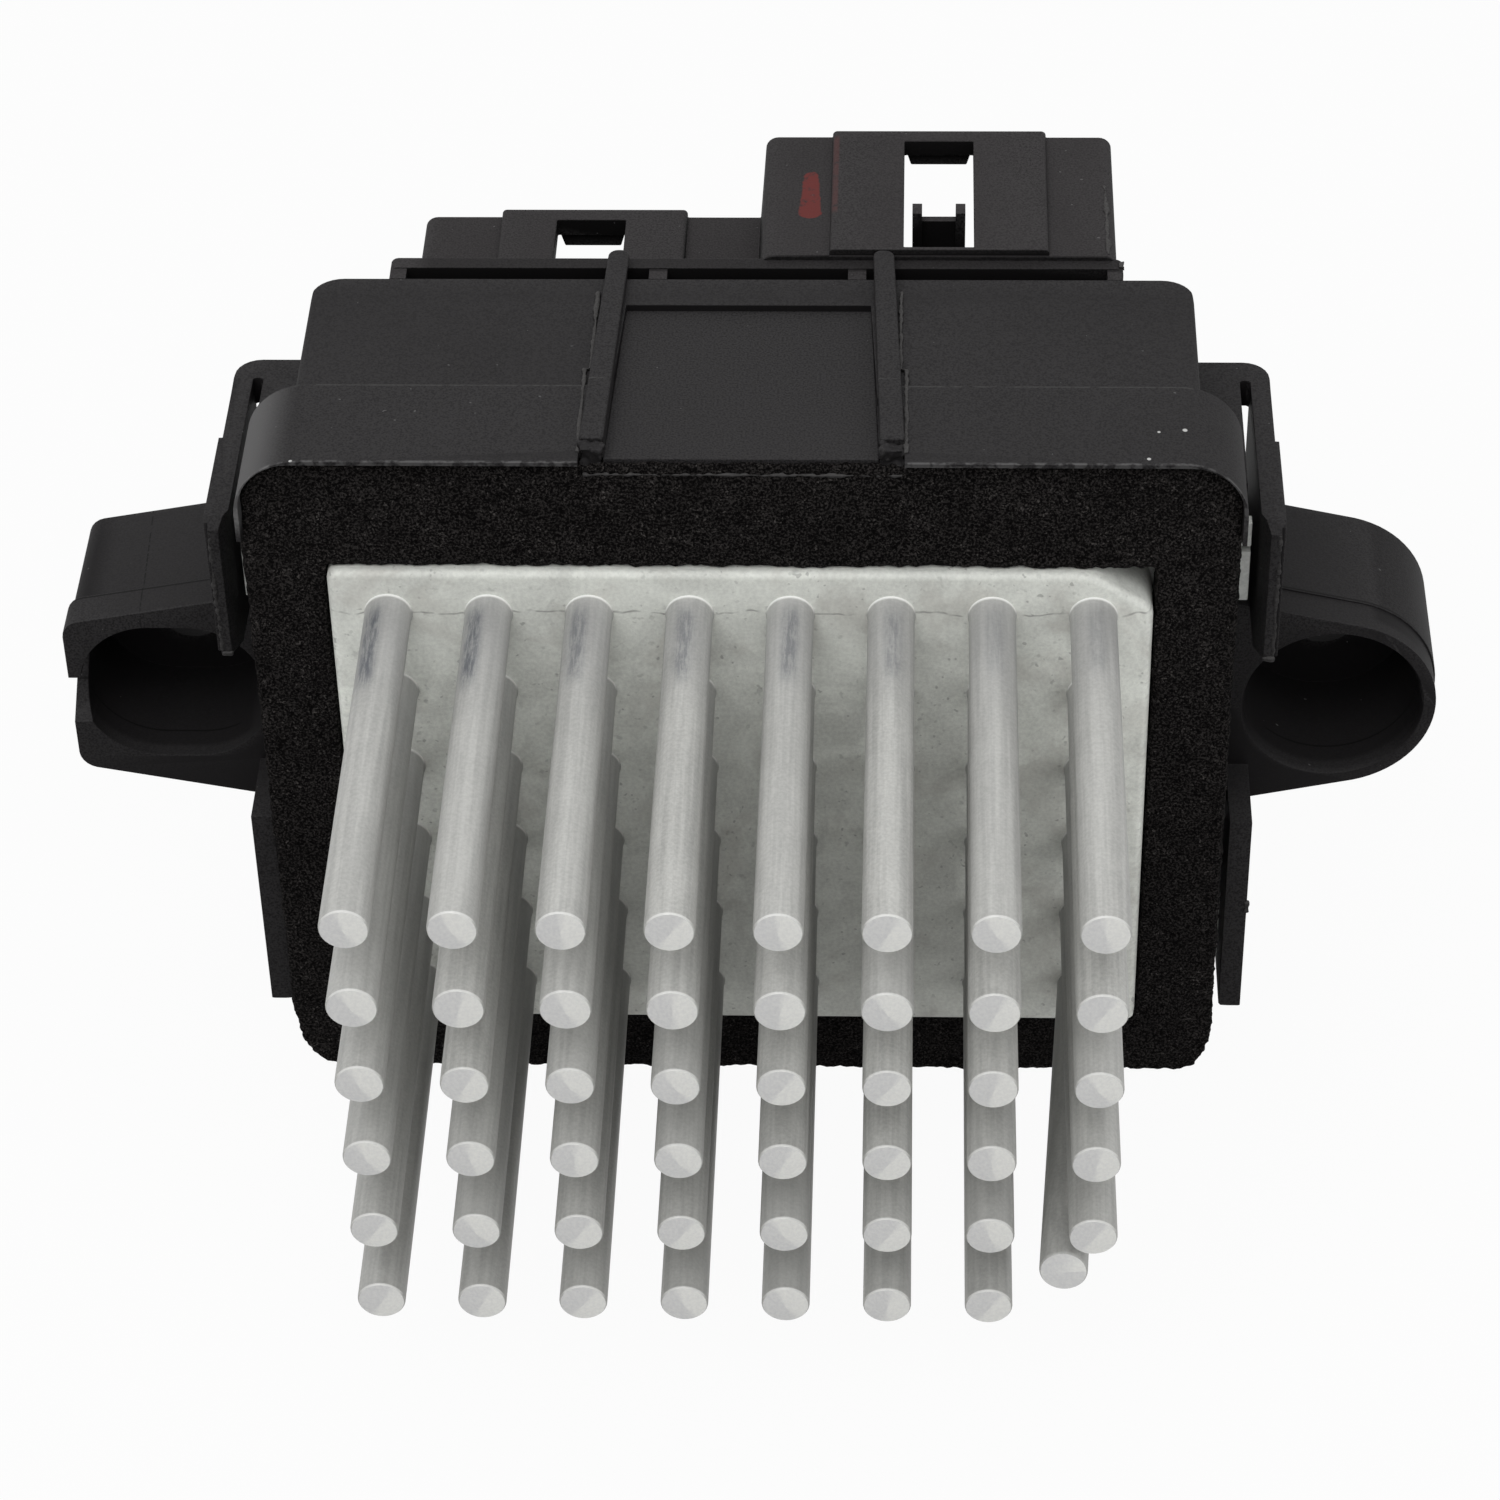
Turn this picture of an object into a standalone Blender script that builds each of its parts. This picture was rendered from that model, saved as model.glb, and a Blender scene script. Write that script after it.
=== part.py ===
"""Blower motor resistor: pin-fin heat sink, foam seal, moulded housing and connector cover.

Metres, +Z up. The origin is the middle of the pin field on the front face of the heat sink's
pad. The pins point along -Y into the air duct, and the connector sockets open along +Y.
"""
from math import atan2, cos, pi, radians, sin, tan

import bmesh
import bpy
from mathutils import Matrix, Vector

# Clearance between pieces that touch, how far joined solids run into each other, how far
# cutters run out of them, and the small step that keeps their faces out of one plane
GAP = 0.0003
SINK_IN = 0.0008
PAST = 0.0010
APART = 0.0001
ARC_STEPS = 5
MERGE = 0.000002

# Pin field
PIN_COLUMNS = 8
PIN_ROWS = 6
PIN_PITCH = 0.0075
PIN_RADIUS = 0.00175
PIN_LENGTH = 0.0351
PIN_TIP_CONE = 0.0005
PIN_TIP_BEVEL = 0.00025
PIN_SIDES = 14
BENT_PIN_SHIFT_X = -0.0021
BENT_PIN_SHIFT_Z = 0.0037

# Pad that carries the pins, one upper corner cut off
PAD_SIDE_MARGIN = 0.00445
PAD_TOP_MARGIN = 0.00385
PAD_BOTTOM_MARGIN = 0.00365
PAD_CUT_X = 0.0046
PAD_CUT_Z = 0.0031
PAD_CORNER_RADIUS = 0.0009
PAD_EDGE_RADIUS = 0.0006

# Foam seal round the pad
WINDOW_GAP = 0.0004
FOAM_SIDE = 0.0059
FOAM_TOP = 0.0087
FOAM_BOTTOM = 0.0063
FOAM_FRONT_Y = 0.0008
FOAM_THICKNESS = 0.0039
FOAM_SHOULDER = 0.0062
FOAM_SHOULDER_STEP = 0.0012
FOAM_TOP_RADIUS = 0.0038
FOAM_CUT_X = 0.0031
FOAM_CUT_Z = 0.0036
FOAM_CUT_ROUND = 0.0006

# Heat sink flange behind the foam, with side lugs
BODY_X = 0.0002
FLANGE_INSET = 0.0003
FLANGE_THICKNESS = 0.0023
LUG_REACH = 0.0011
LUG_HEIGHT = 0.0062
LUG_DROP = 0.0016
LOWER_LUG_RISE = 0.0092
LUG_SETBACK = 0.0002

# Hood and seat of the housing
HOOD_FRONT_Y = -0.0005
HOOD_TOP_WALL = 0.0012
HOOD_SIDE_WALL = 0.0008
SEAT_THICKNESS = 0.0015
SEAT_CORNER_WEB = 0.0095
SEAT_CORNER_RADIUS = 0.0010
HOUSING_BELOW_FLANGE = 0.0004

# Box of the housing
BOX_STEP = 0.0034
BOX_X = 0.00045
BOX_WALL = 0.0019
BOX_DEPTH = 0.0138
BOX_REAR_RADIUS = 0.0024
BOX_EDGE = 0.0004
HOOD_STEP = 0.00015

# Two ribs and the sunk panel between them on the box's top
RIB_SPREAD_FRONT = 0.0109
RIB_SPREAD_BACK = 0.01005
RIB_X = 0.0003
RIB_WIDTH_FRONT = 0.0018
RIB_WIDTH_BACK = 0.0016
RIB_HEIGHT = 0.0009
RIB_FRONT_SETBACK = 0.0012
LIP_SETBACK = 0.0015
LIP_BESIDE_RIB = 0.0002
RIB_OVERHANG = 0.0027
RIB_END_RADIUS = 0.0005
PANEL_SINK = 0.0006
PANEL_REAR_STRIP = 0.0034

# Side arms, stiffening pads and the slotted webs that join them to the box
ARM_SLOT = 0.0012
ARM_THICKNESS = 0.0015
LOWER_ARM_INSET = 0.0010
LOWER_ARM_THICKNESS = 0.00175
ARM_FRONT_Y = 0.0030
ARM_PAST_BOX = 0.0007
ARM_BELOW_TOP = 0.0083
ARM_ABOVE_BOTTOM = 0.0046
ARM_CORNER_CUT = 0.0010
ARM_TIP_INNER_CUT = 0.0008
ARM_TIP_OUTER_CUT = 0.0003
ARM_TIP_HEIGHT = 0.0012
ARM_NOTCH_RADIUS = 0.0004
ARM_PAD_THICKNESS = 0.0003
ARM_PAD_LENGTH = 0.0105
WEB_DEPTH = 0.0024
WEB_HEIGHT = 0.0024
WEB_RADIUS = 0.0021
WEB_SLOT = 0.0008

# Screw ears
EAR_Z = 0.0019
EAR_FRONT_Y = 0.0100
EAR_REACH = 0.0055
EAR_RADIUS = 0.0082
EAR_ROOT_HALF = 0.0103
EAR_ROOT_BELOW = 0.0062
EAR_CUP_RADIUS = 0.0063
EAR_CUP_MOUTH = 0.00715
EAR_CUP_BEVEL = 0.0009
EAR_FLOOR = 0.0026
EAR_SCREW_RADIUS = 0.0027
EAR_COLLAR = 0.0028
EAR_COLLAR_STEP = 0.00015
LEFT_EAR_HALF = 0.0070
LEFT_EAR_CORNER = 0.0013
LEFT_CUP_HALF_X = 0.0073
LEFT_CUP_HALF_Z = 0.0065
LEFT_CUP_RISE = 0.0006
LEFT_CUP_RADIUS = 0.0045
LEFT_NOTCH_Z = 0.0020
LEFT_NOTCH_DEPTH = 0.0066

# Rear cover
COVER_X = 0.00085
COVER_SIDE_STEP = 0.0056
COVER_BOTTOM_STEP = 0.0056
COVER_TOP_DROP = 0.0001
COVER_STANDOFF = 0.0013
COVER_PLATE = 0.0013
COVER_CORNER = 0.0006
COVER_END_TAB = 0.00145
COVER_TAB_WIDTH = 0.0014
COVER_TAB_SPREAD = 0.0076
SPIGOT_WALL = 0.0014
SPIGOT_LENGTH = 0.0030

# Connector sockets
SOCKET_DEPTH = 0.0164
SOCKET_WALL = 0.0014
SOCKET_CORNER = 0.0011
SPLIT_OFFSET = 0.000225
POWER_WIDTH = 0.0272
POWER_HEIGHT = 0.0180
POWER_RISE = 0.00035
POWER_RAISED_WIDTH = 0.0168
POWER_WINDOW = 0.0054
SIGNAL_WIDTH = 0.0276
SIGNAL_HEIGHT = 0.0158
SIGNAL_DROP = 0.0074
SIGNAL_RAISED_WIDTH = 0.0147
SIGNAL_WINDOW = 0.0055
RAISED_STEP = 0.0006
LATCH_BAR = 0.0015
LATCH_DEPTH = 0.0022
LATCH_NARROWING = 0.0005
KEEPER_WIDTH = 0.0041
KEEPER_REACH = 0.0065
KEEPER_DROP = 0.0038
KEEPER_PLATE = 0.0008
KEEPER_POST = 0.00075
KEEPER_WEB = 0.0025

# Terminals
POWER_COUNT = 4
POWER_PITCH = 0.0056
POWER_BLADE_WIDTH = 0.0042
POWER_BLADE_THICKNESS = 0.0008
SIGNAL_COUNT = 7
SIGNAL_PITCH = 0.0031
SIGNAL_BLADE_WIDTH = 0.0015
SIGNAL_BLADE_THICKNESS = 0.0007
BLADE_IN_SOCKET = 0.0077
BLADE_PAST_BOARD = 0.0012
BLADE_TIP = 0.0007

# Circuit board and its screws
BOARD_STANDOFF = 0.0067
BOARD_THICKNESS = 0.0016
BOARD_EDGE_GAP = 0.0010
BOARD_CORNER = 0.0012
BOARD_SCREW_INSET_X = 0.0045
BOARD_SCREW_INSET_Z = 0.0140
BOSS_RADIUS = 0.0028
SCREW_RADIUS = 0.0015
SCREW_HEAD_RADIUS = 0.0028
SCREW_HEAD_HEIGHT = 0.0019
SCREW_HEAD_BEVEL = 0.0006
SCREW_POINT = 0.0007
SCREW_SLOT_WIDTH = 0.0008
SCREW_SLOT_DEPTH = 0.0009
BOARD_SCREW_LENGTH = 0.0062
HOUSING_SCREW_INSET = 0.0033
CLAMP_SCREW_LENGTH = 0.0052
HOLE_BELOW_SCREW = 0.0008

# Power transistors, their pads and clamp
TRANSISTOR_SPREAD = 0.0105
TRANSISTOR_WIDTH = 0.0101
TRANSISTOR_BODY = 0.0092
TRANSISTOR_THICKNESS = 0.0045
TRANSISTOR_TAB = 0.0064
TRANSISTOR_TAB_THICKNESS = 0.0013
TAB_HOLE_RADIUS = 0.0018
LEAD_WIDTH = 0.0008
LEAD_PITCH = 0.00254
LEAD_REACH = 0.0030
LEAD_TRIM = 0.00003
LEAD_PAST_BOARD = 0.0005
TRANSISTOR_Z = 0.0010
INSULATOR_THICKNESS = 0.0004
INSULATOR_MARGIN = 0.0008
CLAMP_THICKNESS = 0.0007
CLAMP_HEIGHT = 0.0080
CLAMP_OVERHANG = 0.0010
CLAMP_SCREW_RELIEF = 0.0042

# Parts on the board
PART_EDGE = 0.0002
CAPACITOR_RADIUS = 0.0031
CAPACITOR_LENGTH = 0.0112
CAPACITOR_EDGE = 0.0005
CAPACITOR_GROOVE = 0.0003
CAPACITOR_GROOVE_PLACE = 0.0016
CAPACITOR_PLACE = (-0.0170, -0.0150)
FILM_SIZE = (0.0130, 0.0060, 0.0080)
FILM_PLACE = (0.0140, -0.0165)
SHUNT_SIZE = (0.0100, 0.0014, 0.0030)
SHUNT_PLACE = (0.0000, -0.0210)
CHIP_SIZE = (0.0103, 0.0023, 0.0075)
CHIP_PLACE = (-0.0140, 0.0075)
CHIP_LEGS = 8
CHIP_LEG_WIDTH = 0.0005
CHIP_LEG_REACH = 0.0014
CHIP_LEG_HEIGHT = 0.0010

# Heights and depths worked out from the sizes above
FIELD_X = PIN_PITCH * (PIN_COLUMNS - 1) / 2
FIELD_Z = PIN_PITCH * (PIN_ROWS - 1) / 2
PAD_X = FIELD_X + PAD_SIDE_MARGIN
PAD_TOP = FIELD_Z + PAD_TOP_MARGIN
PAD_BOTTOM = -FIELD_Z - PAD_BOTTOM_MARGIN
FOAM_HALF = PAD_X + WINDOW_GAP + FOAM_SIDE
FOAM_TOP_Z = PAD_TOP + WINDOW_GAP + FOAM_TOP
FOAM_BOTTOM_Z = PAD_BOTTOM - WINDOW_GAP - FOAM_BOTTOM
FOAM_SHOULDER_Z = FOAM_TOP_Z - FOAM_SHOULDER
FLANGE_FRONT_Y = FOAM_FRONT_Y + FOAM_THICKNESS + GAP
FLANGE_BACK_Y = FLANGE_FRONT_Y + FLANGE_THICKNESS
FLANGE_HALF = FOAM_HALF - FLANGE_INSET
FLANGE_BOTTOM_Z = FOAM_BOTTOM_Z + FLANGE_INSET
SEAT_FRONT_Y = FLANGE_BACK_Y + GAP
SEAT_BACK_Y = SEAT_FRONT_Y + SEAT_THICKNESS
HOOD_HALF = FOAM_HALF - FOAM_SHOULDER_STEP + GAP + HOOD_SIDE_WALL
HOOD_TOP_Z = FOAM_TOP_Z + GAP + HOOD_TOP_WALL
HOUSING_BOTTOM_Z = FOAM_BOTTOM_Z - HOUSING_BELOW_FLANGE
BOX_HALF = HOOD_HALF - BOX_STEP
BOX_TOP_Z = HOOD_TOP_Z - HOOD_STEP
BOX_BACK_Y = SEAT_BACK_Y + BOX_DEPTH
ROOM_HALF = BOX_HALF - BOX_WALL
ROOM_TOP_Z = BOX_TOP_Z - BOX_WALL
ROOM_BOTTOM_Z = HOUSING_BOTTOM_Z + BOX_WALL
ARM_X = FLANGE_HALF + LUG_REACH + ARM_SLOT - FLANGE_INSET * 2
ARM_TOP_Z = HOOD_TOP_Z - ARM_BELOW_TOP
ARM_BOTTOM_Z = HOUSING_BOTTOM_Z + ARM_ABOVE_BOTTOM
ARM_BACK_Y = BOX_BACK_Y + ARM_PAST_BOX
LOWER_ARM_X = ARM_X - LOWER_ARM_INSET
EAR_X = ARM_X + ARM_THICKNESS + EAR_REACH
COVER_HALF = BOX_HALF - COVER_SIDE_STEP
COVER_TOP_Z = BOX_TOP_Z - COVER_TOP_DROP
COVER_BOTTOM_Z = HOUSING_BOTTOM_Z + COVER_BOTTOM_STEP
PLATE_FRONT_Y = BOX_BACK_Y + COVER_STANDOFF + GAP
PLATE_BACK_Y = PLATE_FRONT_Y + COVER_PLATE
SPIGOT_HALF = COVER_HALF - COVER_END_TAB
SPIGOT_TOP_Z = ROOM_TOP_Z - 2 * GAP
SPIGOT_BOTTOM_Z = COVER_BOTTOM_Z + COVER_END_TAB
MOUTH_Y = PLATE_BACK_Y + SOCKET_DEPTH
POWER_TOP_Z = COVER_TOP_Z + POWER_RISE
SIGNAL_TOP_Z = COVER_TOP_Z - SIGNAL_DROP
SOCKETS_SPLIT_X = COVER_X + SPLIT_OFFSET
POWER_X = SOCKETS_SPLIT_X + POWER_WIDTH / 2
SIGNAL_X = SOCKETS_SPLIT_X - SIGNAL_WIDTH / 2
POWER_Z = POWER_TOP_Z - POWER_HEIGHT / 2
SIGNAL_Z = SIGNAL_TOP_Z - SIGNAL_HEIGHT / 2
BOARD_FRONT_Y = FLANGE_BACK_Y + BOARD_STANDOFF + GAP
BOARD_BACK_Y = BOARD_FRONT_Y + BOARD_THICKNESS
TRANSISTOR_FRONT_Y = FLANGE_BACK_Y + INSULATOR_THICKNESS + 2 * GAP
TRANSISTOR_BACK_Y = TRANSISTOR_FRONT_Y + TRANSISTOR_THICKNESS
CLAMP_FRONT_Y = TRANSISTOR_BACK_Y + GAP
CLAMP_BACK_Y = CLAMP_FRONT_Y + CLAMP_THICKNESS

OBJECT_NAME = "blower_motor_resistor"


def clear_scene():
    for item in list(bpy.data.objects):
        bpy.data.objects.remove(item, do_unlink=True)


def new_collection(name):
    collection = bpy.data.collections.new(name)
    bpy.context.scene.collection.children.link(collection)
    return collection


def material(name, color, roughness, metallic=0.0):
    made = bpy.data.materials.new(name)
    made.use_nodes = True
    shader = made.node_tree.nodes["Principled BSDF"]
    shader.inputs["Base Color"].default_value = (*color, 1.0)
    shader.inputs["Roughness"].default_value = roughness
    shader.inputs["Metallic"].default_value = metallic
    return made


def add_solid(name, mesh, place=(0.0, 0.0, 0.0), turn=(0.0, 0.0, 0.0)):
    """New object in the parts collection, shaded smooth up to 30 degrees."""
    mesh.shade_smooth()
    mesh.set_sharp_from_angle(angle=radians(30))
    solid = bpy.data.objects.new(name, mesh)
    solid.location = place
    solid.rotation_euler = turn
    parts.objects.link(solid)
    return solid


def as_tool(solid, collection=None):
    """Makes a solid a hidden operand of a Boolean."""
    parts.objects.unlink(solid)
    (collection or cutters).objects.link(solid)
    solid.hide_render = True
    solid.display_type = "WIRE"
    return solid


def boolean(solid, tool, operation):
    step = solid.modifiers.new(operation.lower() + "_" + tool.name, "BOOLEAN")
    step.operation = operation
    step.solver = "EXACT"
    step.object = as_tool(tool)
    return solid


def add(solid, tool):
    return boolean(solid, tool, "UNION")


def cut(solid, tool):
    return boolean(solid, tool, "DIFFERENCE")


def block(name, low, high, edge=0.0):
    """Box between two corners, with its edges rounded by edge."""
    size = [b - a for a, b in zip(low, high)]
    bm = bmesh.new()
    bmesh.ops.create_cube(bm, size=1.0, matrix=Matrix.Diagonal((*size, 1.0)))
    if edge:
        bmesh.ops.bevel(bm, geom=bm.edges, offset=edge, segments=2, profile=0.5, affect="EDGES")
    mesh = bpy.data.meshes.new(name)
    bm.to_mesh(mesh)
    bm.free()
    return add_solid(name, mesh, [(a + b) / 2 for a, b in zip(low, high)])


def rod(name, centre_x, centre_z, radius, front_y, back_y, back_radius=None, sides=24):
    """Cylinder or cone along Y."""
    bm = bmesh.new()
    bmesh.ops.create_cone(bm, cap_ends=True, segments=sides, radius1=back_radius or radius,
                          radius2=radius, depth=back_y - front_y)
    mesh = bpy.data.meshes.new(name)
    bm.to_mesh(mesh)
    bm.free()
    place = (centre_x, (front_y + back_y) / 2, centre_z)
    return add_solid(name, mesh, place, (pi / 2, 0.0, 0.0))


def turned(name, profile, sides, place=(0.0, 0.0, 0.0), turn=(0.0, 0.0, 0.0)):
    """Solid of revolution about Z from (radius, height) points that run down its outer side."""
    bm = bmesh.new()
    verts = [bm.verts.new((radius, 0.0, height)) for radius, height in profile]
    for first, second in zip(verts, verts[1:]):
        bm.edges.new((first, second))
    mesh = bpy.data.meshes.new(name)
    bm.to_mesh(mesh)
    bm.free()
    solid = add_solid(name, mesh, place, turn)
    screw = solid.modifiers.new("turn", "SCREW")
    screw.axis = "Z"
    screw.angle = 2 * pi
    screw.steps = screw.render_steps = sides
    screw.use_merge_vertices = True
    screw.merge_threshold = MERGE
    screw.use_smooth_shade = True
    return solid


def rounded(corners, steps=ARC_STEPS):
    """Closed outline through (a, b, radius) corners, each rounded by its own radius."""
    points = []
    for index, (a, b, radius) in enumerate(corners):
        here = Vector((a, b))
        if radius <= 0:
            points.append(here)
            continue
        back = (Vector(corners[index - 1][:2]) - here).normalized()
        ahead = (Vector(corners[(index + 1) % len(corners)][:2]) - here).normalized()
        half = back.angle(ahead) / 2
        centre = here + (back + ahead).normalized() * (radius / sin(half))
        first = here + back * (radius / tan(half)) - centre
        last = here + ahead * (radius / tan(half)) - centre
        start = atan2(first.y, first.x)
        sweep = (atan2(last.y, last.x) - start + pi) % (2 * pi) - pi
        for step in range(steps + 1):
            angle = start + sweep * step / steps
            points.append(centre + Vector((cos(angle), sin(angle))) * radius)
    return points


def frame_outline(left, right, low, high, radius):
    return rounded([(left, low, radius), (right, low, radius),
                    (right, high, radius), (left, high, radius)])


def extruded(name, loops, axis, low, high):
    """Solid between low and high along an axis. The first loop is its rim, the others are holes.

    Loops are given in (x, z) for axis Y, in (x, y) for axis Z and in (y, z) for axis X.
    """
    curve = bpy.data.curves.new(name, "CURVE")
    curve.dimensions = "2D"
    curve.fill_mode = "BOTH"
    curve.extrude = (high - low) / 2
    for loop in loops:
        spline = curve.splines.new("POLY")
        spline.points.add(len(loop) - 1)
        for point, (a, b) in zip(spline.points, loop):
            point.co = (a, b, 0.0, 1.0)
        spline.use_cyclic_u = True
    outline = bpy.data.objects.new(name + "_outline", curve)
    middle = (low + high) / 2
    outline.matrix_world = {
        "X": Matrix(((0, 0, 1, middle), (1, 0, 0, 0), (0, 1, 0, 0), (0, 0, 0, 1))),
        "Y": Matrix(((1, 0, 0, 0), (0, 0, -1, middle), (0, 1, 0, 0), (0, 0, 0, 1))),
        "Z": Matrix(((1, 0, 0, 0), (0, 1, 0, 0), (0, 0, 1, middle), (0, 0, 0, 1))),
    }[axis]
    parts.objects.link(outline)
    bpy.context.view_layer.update()
    evaluated = outline.evaluated_get(bpy.context.evaluated_depsgraph_get())
    mesh = bpy.data.meshes.new_from_object(evaluated)
    mesh.name = name
    bm = bmesh.new()
    bm.from_mesh(mesh)
    bmesh.ops.remove_doubles(bm, verts=bm.verts, dist=MERGE)
    bm.to_mesh(mesh)
    bm.free()
    solid = add_solid(name, mesh)
    solid.matrix_world = outline.matrix_world
    bpy.data.objects.remove(outline, do_unlink=True)
    return solid


def inset(corners, amount):
    """Moves the sides of a counter-clockwise outline inwards and shrinks its corner radii."""
    moved = []
    for index, (a, b, radius) in enumerate(corners):
        here = Vector((a, b))
        before = (here - Vector(corners[index - 1][:2])).normalized()
        after = (Vector(corners[(index + 1) % len(corners)][:2]) - here).normalized()
        inward = Vector((-before.y - after.y, before.x + after.x))
        here += inward * amount / (1 + before.dot(after))
        moved.append((here.x, here.y, radius and radius - amount))
    return moved


def edge_rounding(radius):
    """Steps (depth, inset) of an edge rounded by radius, from the face down."""
    return [(radius * (1 - cos(angle)), radius * (1 - sin(angle))) for angle in (0, pi / 4, pi / 2)]


def loft(name, levels, axis):
    """Solid through (position, outline) levels along Y or Z; the outlines have equal counts."""
    order = {"Y": (0, 2, 1), "Z": (0, 1, 2)}[axis]
    bm = bmesh.new()
    rings = []
    for position, outline in levels:
        points = [(a, b, position) for a, b in outline]
        rings.append([bm.verts.new([point[index] for index in order]) for point in points])
    for low, high in zip(rings, rings[1:]):
        for index in range(len(low)):
            after = (index + 1) % len(low)
            bm.faces.new((low[index], low[after], high[after], high[index]))
    bm.faces.new(rings[0])
    bm.faces.new(rings[-1])
    bmesh.ops.recalc_face_normals(bm, faces=bm.faces)
    mesh = bpy.data.meshes.new(name)
    bm.to_mesh(mesh)
    bm.free()
    return add_solid(name, mesh)


def corner_places(inset_x, inset_z):
    """Four places (x, z) in the housing's room, at the given insets from its walls."""
    half = ROOM_HALF - inset_x
    return [(BOX_X + side * half, z) for z in (ROOM_BOTTOM_Z + inset_z, ROOM_TOP_Z - inset_z)
            for side in (-1, 1)]


def board_screw_places():
    return corner_places(BOARD_SCREW_INSET_X, BOARD_SCREW_INSET_Z)


def housing_screw_places():
    return corner_places(HOUSING_SCREW_INSET, HOUSING_SCREW_INSET)


def blade_places(count, middle, pitch):
    """Middles of a row of terminals across a socket."""
    return [middle + (index - (count - 1) / 2) * pitch for index in range(count)]


def power_places():
    return blade_places(POWER_COUNT, POWER_X, POWER_PITCH)


def signal_places():
    return blade_places(SIGNAL_COUNT, SIGNAL_X, SIGNAL_PITCH)


def blade_slot(x, z, width, thickness, front, back):
    return block("blade_slot", (x - width / 2 - GAP, front, z - thickness / 2 - GAP),
                 (x + width / 2 + GAP, back, z + thickness / 2 + GAP))


def seal_outline(half, top, bottom, shoulder, inset):
    """Outline shared by the foam and the flange behind it: narrower where it goes under the hood."""
    upper = half - FOAM_SHOULDER_STEP
    return rounded([
        (BODY_X - half, bottom + FOAM_CUT_Z - inset, 0),
        (BODY_X - half + FOAM_CUT_X - inset, bottom, FOAM_CUT_ROUND),
        (BODY_X + half - FOAM_CUT_X / 2 + inset, bottom, FOAM_CUT_ROUND),
        (BODY_X + half, bottom + FOAM_CUT_Z - inset, 0),
        (BODY_X + half, shoulder, 0),
        (BODY_X + upper, shoulder, 0),
        (BODY_X + upper, top, FOAM_TOP_RADIUS),
        (BODY_X - upper, top, FOAM_TOP_RADIUS),
        (BODY_X - upper, shoulder, 0),
        (BODY_X - half, shoulder, 0),
    ])


def pad_outline(amount):
    """Outline of the pad, moved inwards by amount."""
    return rounded(inset([
        (-PAD_X, PAD_BOTTOM, PAD_CORNER_RADIUS),
        (PAD_X, PAD_BOTTOM, PAD_CORNER_RADIUS),
        (PAD_X, PAD_TOP - PAD_CUT_Z, PAD_CORNER_RADIUS),
        (PAD_X - PAD_CUT_X, PAD_TOP, PAD_CORNER_RADIUS),
        (-PAD_X, PAD_TOP, PAD_CORNER_RADIUS),
    ], amount), steps=3)


def pins():
    """The turned pins in a collection of their own; the lower right one was knocked out of line."""
    profile = [(0.0, PIN_LENGTH),
               (PIN_RADIUS - PIN_TIP_BEVEL, PIN_LENGTH - PIN_TIP_CONE),
               (PIN_RADIUS, PIN_LENGTH - PIN_TIP_CONE - PIN_TIP_BEVEL),
               (PIN_RADIUS, -SINK_IN),
               (0.0, -SINK_IN)]
    field = bpy.data.collections.new("pins")
    cutters.children.link(field)
    for row in range(PIN_ROWS):
        for column in range(PIN_COLUMNS):
            x = column * PIN_PITCH - FIELD_X
            z = FIELD_Z - row * PIN_PITCH
            lean = Vector((0.0, -PIN_LENGTH, 0.0))
            if (row, column) == (PIN_ROWS - 1, PIN_COLUMNS - 1):
                lean += Vector((BENT_PIN_SHIFT_X, 0.0, BENT_PIN_SHIFT_Z))
            turn = Vector((0.0, 0.0, 1.0)).rotation_difference(lean).to_euler()
            as_tool(turned("pin", profile, PIN_SIDES, (x, 0.0, z), turn), field)
    return field


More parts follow.
